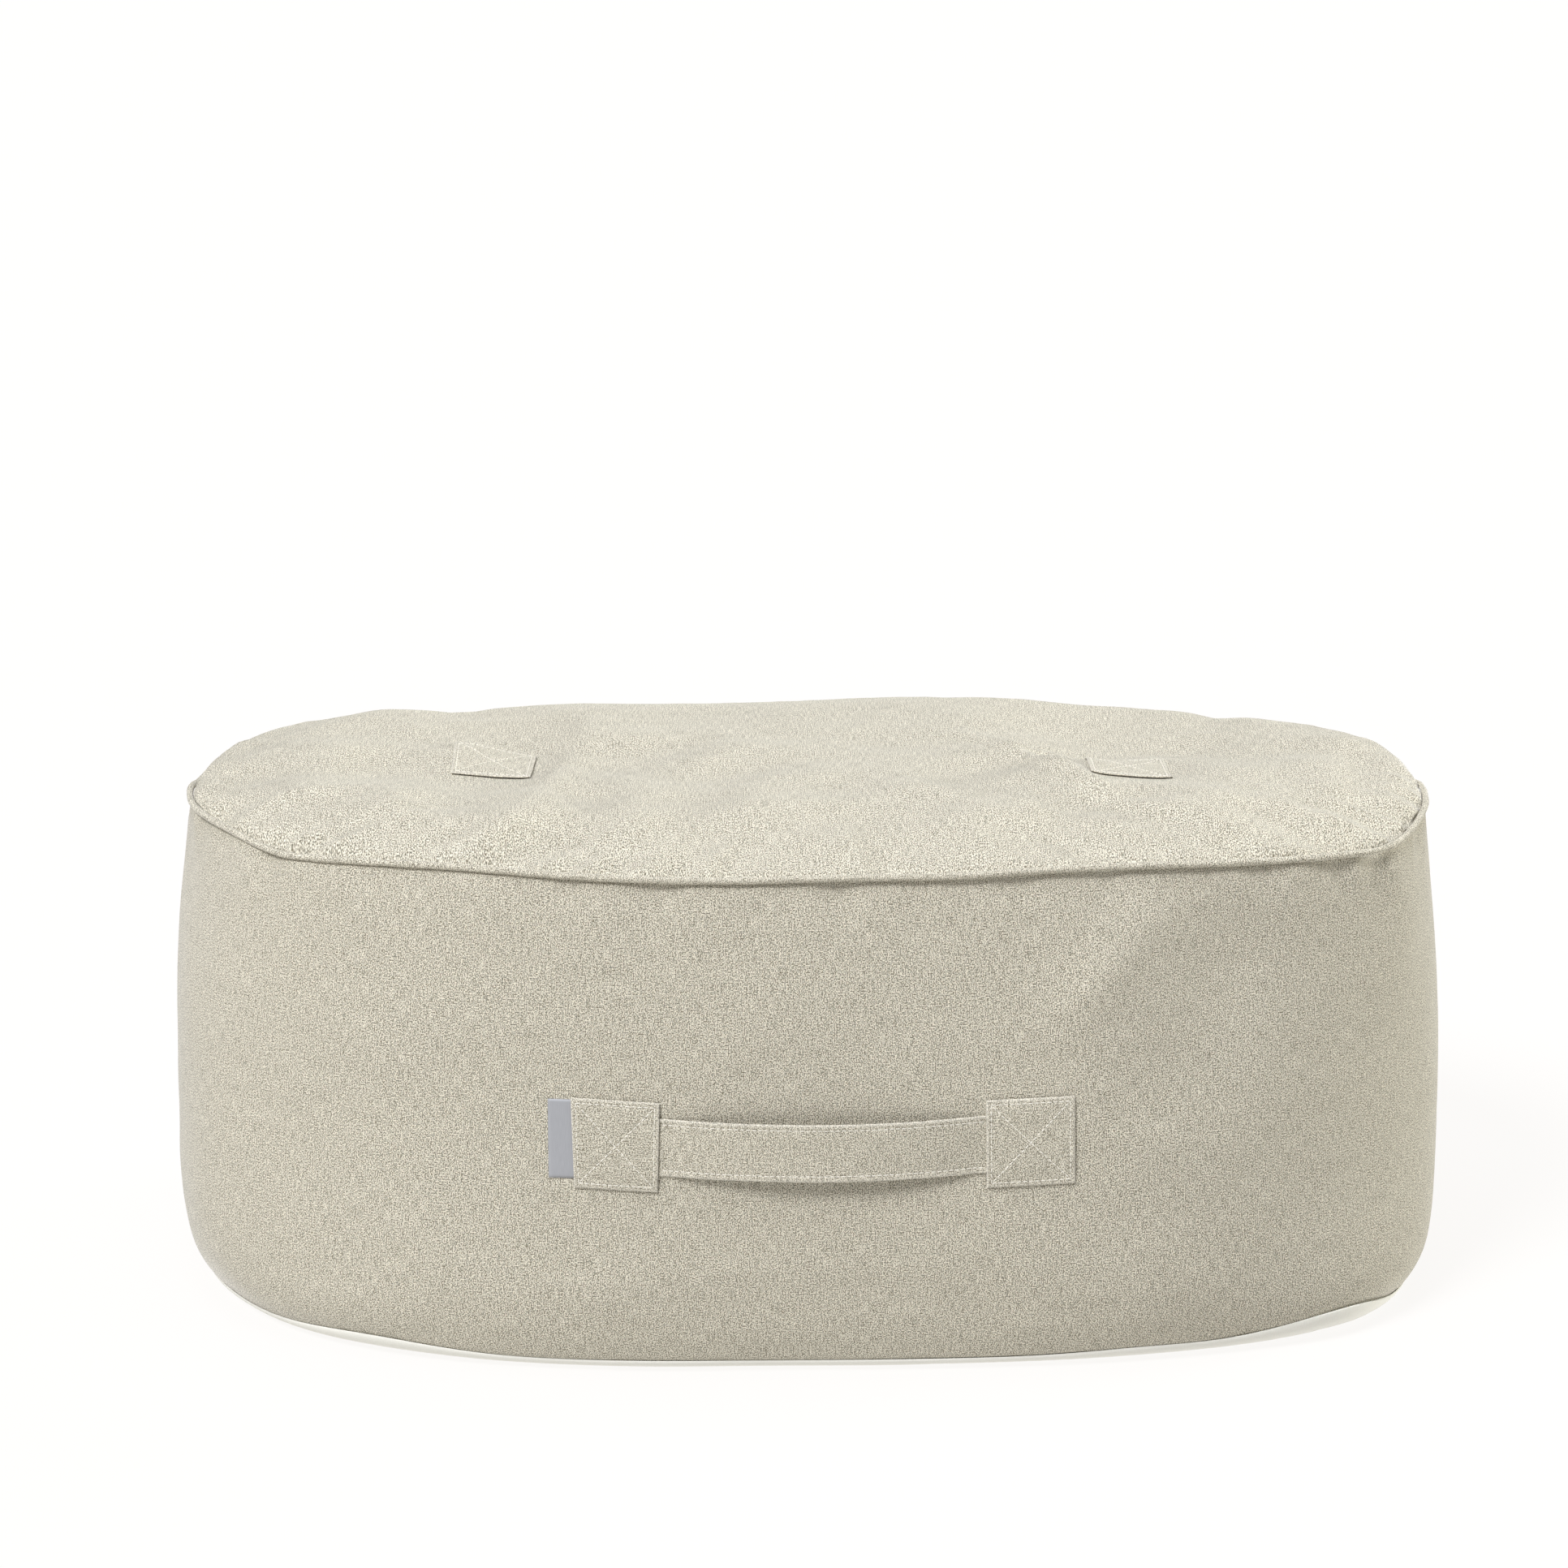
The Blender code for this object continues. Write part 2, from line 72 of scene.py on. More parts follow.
class Facing(Enum):
    """The side of the pouf that a sewn piece lies on, as the direction it faces."""

    FRONT = (0.0, -1.0, 0.0)
    TOP = (0.0, 0.0, 1.0)

    def flat(self, points: Array) -> Array:
        """Gives points as they're seen from this side."""
        return points[:, [0, 2]] if self is Facing.FRONT else points[:, :2]

    def points(self, flat: Array, out: Array) -> Array:
        """Gives the points at places on the plane, each so far out."""
        x, across = flat.T
        return np.stack([x, -out, across] if self is Facing.FRONT else [x, across, out], 1)


class Panel(Enum):
    """The cut panels of the cover, each with its own run of the cloth."""

    CROWN = 0
    BAND = 1
    UNDER = 2


@dataclass(frozen=True)
class Grain:
    """One kind of fleck: its size along and up the cloth, its weight in the mix and its detail."""

    wide: float
    tall: float
    weight: float = 1.0
    detail: float = 1.0


def operator(kind: str, turned: bool = False) -> "Callable[[Value, Value | float], Value]":
    """Makes an operator of Value that adds one Math node.

    Args:
        kind: The node's operation.
        turned: Whether the other value comes first.

    Returns:
        The operator.
    """

    def apply(this: "Value", other: "Value | float") -> "Value":
        """Adds the node for the two values."""
        return this.board.math(kind, *((other, this) if turned else (this, other)))

    return apply


class Value:
    """One output socket of a material, with arithmetic that adds Math nodes."""

    __add__ = operator("ADD")
    __radd__ = operator("ADD", turned=True)
    __sub__ = operator("SUBTRACT")
    __rsub__ = operator("SUBTRACT", turned=True)
    __mul__ = operator("MULTIPLY")
    __rmul__ = operator("MULTIPLY", turned=True)
    __truediv__ = operator("DIVIDE")
    __rtruediv__ = operator("DIVIDE", turned=True)

    def __init__(self, board: "Board", socket: bpy.types.NodeSocket) -> None:
        """Keeps the board and the socket that it wraps."""
        self.board = board
        self.socket = socket

    def sine(self) -> "Value":
        """Takes the sine."""
        return self.board.math("SINE", self, 0.0)

    def size(self) -> "Value":
        """Drops the sign."""
        return self.board.math("ABSOLUTE", self, 0.0)

    def within(self) -> "Value":
        """Holds the value from 0 to 1."""
        return self.board.node("ShaderNodeClamp", {}, {"Value": self})


class Board:
    """The node board of one material."""

    def __init__(self, name: str) -> None:
        """Starts an empty material.

        Args:
            name: The material's name.
        """
        self.material = bpy.data.materials.new(name)
        self.material.use_nodes = True
        self.tree = self.material.node_tree
        self.tree.nodes.clear()

    def node(self, kind: str, settings: dict, inputs: dict, output: int | str = 0) -> Value:
        """Adds one node.

        Args:
            kind: The node's type.
            settings: Its properties, set before its sockets.
            inputs: A value or a link for each named or numbered socket.
            output: The output wanted.

        Returns:
            That output.
        """
        made = self.tree.nodes.new(kind)
        for key, setting in settings.items():
            setattr(made, key, setting)
        for key, given in inputs.items():
            if isinstance(given, Value):
                self.tree.links.new(given.socket, made.inputs[key])
            else:
                made.inputs[key].default_value = given
        return Value(self, made.outputs[output])

    def math(self, operation: str, first: Value | float, second: Value | float) -> Value:
        """Adds a Math node for two values."""
        return self.node("ShaderNodeMath", {"operation": operation}, {0: first, 1: second})

    def blend(self, share: Value | float, first: Value | Colour, second: Value | Colour) -> Value:
        """Mixes two colours by a share."""
        return self.node("ShaderNodeMix", {"data_type": "RGBA"}, {0: share, 6: first, 7: second}, 2)

    def flecks(self, u: Value, v: Value, grain: Grain) -> Value:
        """Adds a patchy noise over the cloth.

        Args:
            u: Metres along the cloth.
            v: Metres up the cloth.
            grain: The size and detail of its flecks.

        Returns:
            A value about 0.5.
        """
        spot = self.node("ShaderNodeCombineXYZ", {}, {0: u / grain.wide, 1: v / grain.tall})
        inputs = {"Vector": spot, "Scale": 1.0, "Detail": grain.detail}
        return self.node("ShaderNodeTexNoise", {"noise_dimensions": "2D"}, inputs)

    def specks(self, scale: float) -> Value:
        """Adds a noise through the piece's own space."""
        inputs = {"Vector": self.object_place(), "Scale": scale, "Detail": 1.0}
        return self.node("ShaderNodeTexNoise", {}, inputs)

    def weave(self, over: Value, under: Value) -> Value:
        """Gives the relief of a plain weave from the turns of its two yarns, from 0 to 1."""
        return (over.sine() * under.sine()).size()

    def split(self, spot: Value) -> tuple[Value, Value]:
        """Takes the first two coordinates of a place."""
        along, up = (self.node("ShaderNodeSeparateXYZ", {}, {0: spot}, axis) for axis in (0, 1))
        return along, up

    def cloth_place(self) -> tuple[Value, Value]:
        """Gives the metres along and up the piece's own cloth."""
        return self.split(self.node("ShaderNodeUVMap", {"uv_map": CLOTH_MAP}, {}))

    def object_place(self) -> Value:
        """Gives the place in the piece's own space."""
        return self.node("ShaderNodeTexCoord", {}, {}, "Object")

    def finish(self, inputs: dict, height: Value | None = None, depth: float = 0.0) -> bpy.types.Material:
        """Closes the board with a Principled shader.

        Args:
            inputs: The shader's sockets.
            height: The relief, from 0 to 1.
            depth: The relief's depth in metres.

        Returns:
            The material.
        """
        if height is not None:
            sizes = {"Strength": 1.0, "Distance": depth, "Height": height}
            inputs = {**inputs, "Normal": self.node("ShaderNodeBump", {}, sizes)}
        surface = self.node("ShaderNodeBsdfPrincipled", {}, inputs)
        out = self.tree.nodes.new("ShaderNodeOutputMaterial")
        self.tree.links.new(surface.socket, out.inputs["Surface"])
        return self.material


@dataclass(frozen=True)
class WovenCloth:
    """The greige cover cloth, woven from mixed yarns with pale and dark flecks."""

    name: str = "cover_cloth"
    dark: Colour = (0.165, 0.140, 0.090, 1.0)
    cool: Colour = (0.165, 0.158, 0.118, 1.0)
    light: Colour = (0.800, 0.752, 0.625, 1.0)
    hem: Colour = (0.760, 0.725, 0.640, 1.0)
    hem_share: float = 0.35
    fleck: Grain = Grain(0.80 * MM, 1.25 * MM, 0.72)
    warp: Grain = Grain(0.85 * MM, 15.0 * MM, 0.19)
    weft: Grain = Grain(4.0 * MM, 0.9 * MM, 0.09)
    tint: Grain = Grain(2.2 * MM, 3.0 * MM, 3.0)
    tint_shift: float = 3.0
    mottle: Grain = Grain(40.0 * MM, 55.0 * MM, 0.06, 2.0)
    gain: float = 5.6
    yarn: float = 1.05 * MM
    yarn_wander: float = 3.0
    yarn_share: float = 0.45
    relief: float = 0.12 * MM

    def make(self) -> bpy.types.Material:
        """Makes the cloth: flecks, warp streaks, slow mottling and a plain weave."""
        board = Board(self.name)
        u, v = board.cloth_place()
        fleck, warp, weft, mottle = (
            board.flecks(u, v, grain) for grain in (self.fleck, self.warp, self.weft, self.mottle)
        )
        tint = board.flecks(u + self.tint_shift, v, self.tint)
        mixed = fleck * self.fleck.weight + warp * self.warp.weight + weft * self.weft.weight
        share = ((mixed - 0.5) * self.gain + 0.5 + (mottle - 0.5) * self.mottle.weight).within()
        depth = board.blend(((tint - 0.5) * self.tint.weight + 0.5).within(), self.dark, self.cool)
        edge = board.node("ShaderNodeAttribute", {"attribute_name": HEM_LAYER}, {}, "Fac")
        colour = board.blend(edge * self.hem_share, board.blend(share, depth, self.light), self.hem)
        turn = math.pi / self.yarn
        yarns = board.weave(u * turn + warp * self.yarn_wander, v * turn + weft * self.yarn_wander)
        height = yarns * self.yarn_share + mixed
        finish = {
            "Base Color": colour,
            "Roughness": 0.92,
            "Specular IOR Level": 0.20,
            "Sheen Weight": 0.34,
            "Sheen Roughness": 0.38,
        }
        return board.finish(finish, height, self.relief)


@dataclass(frozen=True)
class BaseCloth:
    """The plain off-white cloth of the base."""

    name: str = "base_cloth"
    shade: Colour = (0.760, 0.745, 0.670, 1.0)
    light: Colour = (0.850, 0.840, 0.775, 1.0)
    fleck: Grain = Grain(1.0 * MM, 1.4 * MM, 0.5, 2.0)
    yarn: float = 0.7 * MM
    relief: float = 0.05 * MM

    def make(self) -> bpy.types.Material:
        """Makes the cloth, with faint flecks and a fine weave."""
        board = Board(self.name)
        u, v = board.split(board.object_place())
        fleck = board.flecks(u, v, self.fleck)
        colour = board.blend(fleck, self.shade, self.light)
        turn = math.pi / self.yarn
        height = board.weave(u * turn, v * turn) * (1 - self.fleck.weight) + fleck * self.fleck.weight
        return board.finish({"Base Color": colour, "Roughness": 0.9}, height, self.relief)


@dataclass(frozen=True)
class LabelSatin:
    """The cool grey satin of the bare side label."""

    name: str = "label_satin"
    shade: Colour = (0.300, 0.305, 0.320, 1.0)
    light: Colour = (0.400, 0.405, 0.420, 1.0)
    thread: Grain = Grain(0.35 * MM, 12.0 * MM)
    relief: float = 0.02 * MM

    def make(self) -> bpy.types.Material:
        """Makes the satin, with long fine threads along the label."""
        board = Board(self.name)
        u, v = board.cloth_place()
        threads = board.flecks(u, v, self.thread)
        colour = board.blend(threads, self.shade, self.light)
        finish = {"Base Color": colour, "Roughness": 0.45, "Sheen Weight": 0.2}
        return board.finish(finish, threads, self.relief)


@dataclass(frozen=True)
class SeamThread:
    """The pale cream sewing thread."""

    name: str = "seam_thread"
    shade: Colour = (0.700, 0.665, 0.570, 1.0)
    light: Colour = (0.950, 0.920, 0.840, 1.0)
    twists: float = 1400.0
    relief: float = 0.03 * MM

    def make(self) -> bpy.types.Material:
        """Makes the thread, with a fine twist."""
        board = Board(self.name)
        twist = board.specks(self.twists)
        colour = board.blend(twist, self.shade, self.light)
        return board.finish({"Base Color": colour, "Roughness": 0.7}, twist, self.relief)


@dataclass(frozen=True)
class StudioWhite:
    """The lit white sweep that the pouf stands on."""

    name: str = "studio_white"
    albedo: float = 0.08
    unevenness: float = 0.02
    clouds: float = 0.7
    glow: float = 0.90
    glow_tint: Colour = (1.0, 0.985, 0.965, 1.0)

    def make(self) -> bpy.types.Material:
        """Makes the sweep, evenly lit from within, with a barely seen unevenness."""
        board = Board(self.name)
        low, high = ((self.albedo * share,) * 3 + (1.0,) for share in (1 - self.unevenness, 1.0))
        finish = {
            "Base Color": board.blend(board.specks(self.clouds), low, high),
            "Roughness": 1.0,
            "Specular IOR Level": 0.0,
            "Emission Color": self.glow_tint,
            "Emission Strength": self.glow,
        }
        return board.finish(finish)


class Finishes:
    """The materials of the pouf, made once and shared by its pieces."""

    def __init__(self) -> None:
        """Makes each finish."""
        self.cover = WovenCloth().make()
        self.base = BaseCloth().make()
        self.satin = LabelSatin().make()
        self.thread = SeamThread().make()
        self.studio = StudioWhite().make()


def cad_shape(node: str) -> Shape:
    """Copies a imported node, with its loose triangles merged and paired.

    Args:
        node: The node's name.

    Returns:
        Its shape, mostly in quads.
    """
    shape = bmesh.new()
    shape.from_mesh(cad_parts[node].data)
    bmesh.ops.remove_doubles(shape, verts=shape.verts, dist=1e-5)
    bmesh.ops.join_triangles(
        shape,
        faces=shape.faces,
        angle_face_threshold=math.radians(60),
        angle_shape_threshold=math.radians(179),
    )
    bmesh.ops.recalc_face_normals(shape, faces=shape.faces)
    return shape


def piece_from(shape: Shape, name: str, material: bpy.types.Material) -> Piece:
    """Turns a shape into a smooth-shaded piece at the origin.

    Args:
        shape: The shape, which is freed.
        name: The piece's name.
        material: Its finish.

    Returns:
        The piece.
    """
    mesh = bpy.data.meshes.new(name)
    shape.to_mesh(mesh)
    shape.free()
    kept_normals = mesh.attributes.get("custom_normal")
    if kept_normals is not None:
        mesh.attributes.remove(kept_normals)
    mesh.shade_smooth()
    mesh.materials.clear()
    mesh.materials.append(material)
    piece = bpy.data.objects.new(name, mesh)
    bpy.context.scene.collection.objects.link(piece)
    return piece


def declare(piece: Piece, slot: str, *nodes: str) -> None:
    """Puts a piece on the pouf's body and hides the nodes that it stands for."""
    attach(piece, "root")
    if nodes:
        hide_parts(*nodes)


def sheet_from(
    shape: Shape, facing: Facing, name: str, material: bpy.types.Material, thickness: float
) -> Piece:
    """Turns a grid of cloth into a piece that faces outward and has a thickness.

    Args:
        shape: The grid, which is freed.
        facing: The side of the pouf that it lies on.
        name: The piece's name.
        material: Its finish.
        thickness: Its thickness, laid inward.

    Returns:
        The piece.
    """
    shape.normal_update()
    way = Vector(facing.value)
    if sum(face.normal.dot(way) * face.calc_area() for face in shape.faces) < 0:
        bmesh.ops.reverse_faces(shape, faces=shape.faces)
    piece = piece_from(shape, name, material)
    thick = piece.modifiers.new("thickness", "SOLIDIFY")
    thick.thickness = thickness
    thick.offset = -1.0
    return piece


def bell(away: Array, width: float) -> Array:
    """Gives a soft bump: 1 on a line, fading with the distance from it."""
    return np.exp(-((away / width) ** 2))


def rounded(rim: Array, width: float) -> Array:
    """Gives how far a rounded edge falls away: 1 at the edge, 0 from the width inward."""
    return np.clip(1 - rim / width, 0, 1) ** 2


def cross_lines(edge: tuple[float, ...], side: float, count: int) -> Array:
    """Gives the shares across a cloth at which its grid lines run.

    Args:
        edge: The lines' distances in from either edge, in millimetres.
        side: The cloth's size.
        count: How many lines lie evenly between.

    Returns:
        The shares.
    """
    near = np.array(edge) * MM / side
    return np.concatenate([near, np.linspace(near[-1], 1 - near[-1], count + 2)[1:-1], 1 - near[::-1]])


def packed_corners(node: str, facing: Facing, lean: float = 1.0) -> Array:
    """Reads a packed sheet's four corners, on the plane that it faces.

    Args:
        node: The node's name.
        facing: The side of the pouf that it lies on.
        lean: How much more the first axis counts, for a narrow sheet.

    Returns:
        The corners, anticlockwise from the lower left.
    """
    flat = facing.flat(points_of(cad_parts[node].data))
    return np.array([flat[np.argmax(flat @ np.array((lean * x, y)))] for x, y in CORNERS])


def between(corners: Array, along: Array, up: Array) -> Array:
    """Gives the places between four corners for the shares along and up."""
    a, b = along[:, None], up[:, None]
    low = corners[0] * (1 - a) + corners[1] * a
    high = corners[3] * (1 - a) + corners[2] * a
    return low * (1 - b) + high * b


def read_all(items: bpy.types.bpy_prop_collection, key: str, kind: type = float, width: int = 1) -> Array:
    """Reads one property of all of a mesh's points, corners or faces.

    Args:
        items: The mesh's list of them.
        key: The property.
        kind: The kind of number.
        width: How many numbers each holds.

    Returns:
        The numbers, in rows if each holds several.
    """
    numbers = np.empty(len(items) * width, kind)
    items.foreach_get(key, numbers)
    return numbers.reshape(-1, width) if width > 1 else numbers


def points_of(mesh: bpy.types.Mesh) -> Array:
    """Reads a mesh's points as rows of x, y and z."""
    return read_all(mesh.vertices, "co", width=3)


def normals_of(mesh: bpy.types.Mesh) -> Array:
    """Reads a mesh's point normals as rows."""
    return read_all(mesh.vertex_normals, "vector", width=3)


def move_points(mesh: bpy.types.Mesh, points: Array) -> None:
    """Writes a mesh's points."""
    mesh.vertices.foreach_set("co", points.ravel())
    mesh.update()


def subdivide(piece: Piece, levels: int) -> None:
    """Subdivides a piece smoothly and keeps the result in its mesh.

    Args:
        piece: The piece.
        levels: How many times.
    """
    smooth = piece.modifiers.new("smooth", "SUBSURF")
    smooth.levels = levels
    smooth.render_levels = levels
    graph = bpy.context.evaluated_depsgraph_get()
    graph.update()
    finer = bpy.data.meshes.new_from_object(piece.evaluated_get(graph))
    coarse = piece.data
    piece.modifiers.clear()
    piece.data = finer
    finer.name = piece.name
    bpy.data.meshes.remove(coarse)
    finer.shade_smooth()


def closed_line(points: Array, count: int) -> Array:
    """Runs a smooth closed line through points.

    Args:
        points: The points in order round the line.
        count: How many points the line has.

    Returns:
        The line's points.
    """
    place = np.arange(count) * len(points) / count
    start = place.astype(int)
    share = (place - start)[:, None]
    before, here, after, beyond = (np.take(points, start + step, 0, mode="wrap") for step in (-1, 0, 1, 2))
    third = 3 * (here - after) + beyond - before
    second = 2 * before - 5 * here + 4 * after - beyond
    return here + 0.5 * share * (after - before + share * (second + share * third))


def cloth_grid(
    lines: tuple[Array, Array],
    flat: tuple[float, float],
    place: Places,
    hem: Places | None = None,
    turned: bool = False,
) -> Shape:
    """Lays a grid of cloth, with its map in metres.

    Args:
        lines: The shares, from 0 to 1, at which its lines run each way.
        flat: Its flat size each way.
        place: Gives the points for the shares along and up the cloth.
        hem: Gives how much of a hem there is at those shares.
        turned: Whether the cloth's warp runs along instead of up.

    Returns:
        The grid.
    """
    shape = bmesh.new()
    layer = shape.loops.layers.uv.new(CLOTH_MAP)
    counts = [len(run) - 1 for run in lines]
    bmesh.ops.create_grid(shape, x_segments=counts[0], y_segments=counts[1], size=0.5)
    shares = np.array([vertex.co[:2] for vertex in shape.verts]) + 0.5
    for axis, run in enumerate(lines):
        shares[:, axis] = run[np.rint(shares[:, axis] * counts[axis]).astype(int)]
    shape.verts.index_update()
    for face in shape.faces:
        for loop in face.loops:
            spot = shares[loop.vert.index] * flat
            loop[layer].uv = spot[::-1] + TURNED_START if turned else spot + STRAIGHT_START
    points = place(shares[:, 0], shares[:, 1])
    for vertex, point in zip(shape.verts, points, strict=True):
        vertex.co = point
    if hem is not None:
        tone = shape.verts.layers.float.new(HEM_LAYER)
        for vertex, share in zip(shape.verts, hem(shares[:, 0], shares[:, 1]), strict=True):
            vertex[tone] = share
    return shape


class Ground:
    """The finished surfaces that a sewn piece is laid on, seen from the way it faces."""

    def __init__(self, pieces: list[Piece], facing: Facing) -> None:
        """Joins the pieces into one tree of faces.

        Args:
            pieces: The pieces, with their modifiers.
            facing: The side that is laid on.
        """
        shape = bmesh.new()
        graph = bpy.context.evaluated_depsgraph_get()
        graph.update()
        for piece in pieces:
            mesh = piece.evaluated_get(graph).to_mesh()
            shape.from_mesh(mesh)
            piece.evaluated_get(graph).to_mesh_clear()
        self.tree = BVHTree.FromBMesh(shape)
        shape.free()
        self.way = Vector(facing.value)

    def find(self, x: float, across: float) -> tuple[Vector, Vector] | None:
        """Looks at the ground at a place.

        Args:
            x: The place along the pouf.
            across: The height on the front, or the depth on the top.

        Returns:
            The point and the surface's direction, or None.
        """
        flat = Vector((x, 0.0, across)) if self.way.y else Vector((x, across, 0.0))
        point, normal, _, _ = self.tree.ray_cast(flat + self.way, -self.way)
        if point is None:
            return None
        return point, normal

    def level(self, x: float, across: float) -> float:
        """Gives how far out the ground stands at a place, or nothing below it."""
        found = self.find(x, across)
        return found[0].dot(self.way) if found else -1.0

    def levels(self, flat: Array) -> Array:
        """Gives how far out the ground stands at each place."""
        return np.array([self.level(float(x), float(across)) for x, across in flat])


def noises(spots: Array) -> Array:
    """Gives a smooth noise at each place."""
    return np.array([noise.noise(Vector(spot)) for spot in spots])


@dataclass(frozen=True)
class EdgeLine:
    """A raised or drawn-in line beside an edge: its height, its place in and its half-width, in mm."""

    height: float
    inset: float
    width: float

    def at(self, rim: Array) -> Array:
        """Gives its height at each distance from the edge."""
        return self.height * MM * bell(rim - self.inset * MM, self.width * MM)


@dataclass(frozen=True)
class SeamShift:
    """A stretch of the top seam that lies higher or lower: its middle, half-width, rise and edge."""

    turn: float
    spread: float
    rise: float
    edge: float

    def at(self, turns: Array) -> Array:
        """Gives the rise at each angle."""
        away = np.abs((turns - self.turn + 180) % 360 - 180)
        return self.rise * np.exp(-((away / self.spread) ** self.edge))


@dataclass
class WeltLine:
    """The line of the top seam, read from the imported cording."""

    stations: int = 768
    ring_gap: float = 8.0 * MM
    waver: float = 0.5 * MM
    wavers: float = 9.0
    waver_seed: float = 2.4
    shifts: tuple[SeamShift, ...] = (
        SeamShift(73.0, 16.0, -11.0 * MM, 7.0),
        SeamShift(287.0, 16.0, -11.0 * MM, 7.0),
        SeamShift(117.0, 8.0, -5.0 * MM, 1.3),
        SeamShift(252.0, 4.0, 2.0 * MM, 1.3),
    )

    def __post_init__(self) -> None:
        """Finds the middle of each ring of the cording and runs a line through them."""
        shape = cad_shape("top_piping")
        rings = []
        seen = set()
        for first in shape.verts:
            if first in seen:
                continue
            ring = [first]
            seen.add(first)
            for vertex in ring:
                for edge in vertex.link_edges:
                    other = edge.other_vert(vertex)
                    if other not in seen and edge.calc_length() < self.ring_gap:
                        seen.add(other)
                        ring.append(other)
            rings.append(sum((vertex.co for vertex in ring), Vector()) / len(ring))
        shape.free()
        middles = np.array(rings)
        self.centre = middles[:, :2].mean(0)
        turns = self.turn(middles)
        self.line = closed_line(middles[np.argsort(turns)], self.stations)
        self.turns = self.turn(self.line)
        order = np.argsort(self.turns)
        self.line = self.line[order]
        self.turns = self.turns[order]
        steps = np.linalg.norm(np.roll(self.line, -1, 0) - self.line, axis=1)
        self.girth = float(steps.sum())
        self.lengths = np.concatenate([[0.0], np.cumsum(steps)[:-1]])
        self.reach = np.hypot(*(self.line[:, :2] - self.centre).T)
        self.packed_level = self.line[:, 2].copy()
        self.line[:, 2] += self.rise(self.turns)

    def rise(self, turns: Array) -> Array:
        """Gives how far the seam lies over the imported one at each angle."""
        small = noises(self.ring(np.radians(turns), self.wavers, np.full(len(turns), self.waver_seed)))
        return small * self.waver + sum(shift.at(turns) for shift in self.shifts)

    @staticmethod
    def ring(turns: Array, size: float, levels: Array) -> Array:
        """Gives places for a noise round a ring, so that it closes without a step."""
        return np.stack([np.cos(turns) * size, np.sin(turns) * size, levels], 1)

    def turn(self, points: Array) -> Array:
        """Gives each point's angle round the pouf, in degrees from its back."""
        away = points[:, :2] - self.centre
        return np.degrees(np.arctan2(away[:, 1], away[:, 0]) - math.pi / 2) % 360

    def at(self, points: Array, values: Array) -> Array:
        """Reads a value along the line at each point's angle."""
        return np.interp(self.turn(points), self.turns, values, period=360)

    def length(self, points: Array) -> Array:
        """Gives the metres round the seam at each point's angle, from the back."""
        return np.interp(
            self.turn(points),
            np.append(self.turns, self.turns[0] + 360),
            np.append(self.lengths, self.girth),
        )


@dataclass(frozen=True)
class Crease:
    """One ridge or hollow of the cloth, with its height, half-width and path in millimetres."""

    lift: float
    width: float
    path: tuple[tuple[float, float], ...]

    def heights(self, flat: Array) -> Array:
        """Gives the crease's height at each point of a panel.

        Args:
            flat: The points on the panel.

        Returns:
            The heights, which fade towards both ends of the path.
        """
        path = np.array(self.path) * MM
        nearest = np.full(len(flat), np.inf)
        fade = np.zeros(len(flat))
        lengths = np.linalg.norm(np.diff(path, axis=0), axis=1)
        passed = 0.0
        for start, end, length in zip(path[:-1], path[1:], lengths, strict=True):
            share = np.clip(((flat - start) @ (end - start)) / length**2, 0, 1)
            away = np.linalg.norm(flat - start - share[:, None] * (end - start), axis=1)
            place = (passed + share * length) / lengths.sum()
            nearer = away < nearest
            nearest = np.where(nearer, away, nearest)
            fade = np.where(nearer, np.sin(np.pi * place) ** CREASE_FADE, fade)
            passed += length
        return self.lift * MM * fade * bell(nearest, self.width * MM)


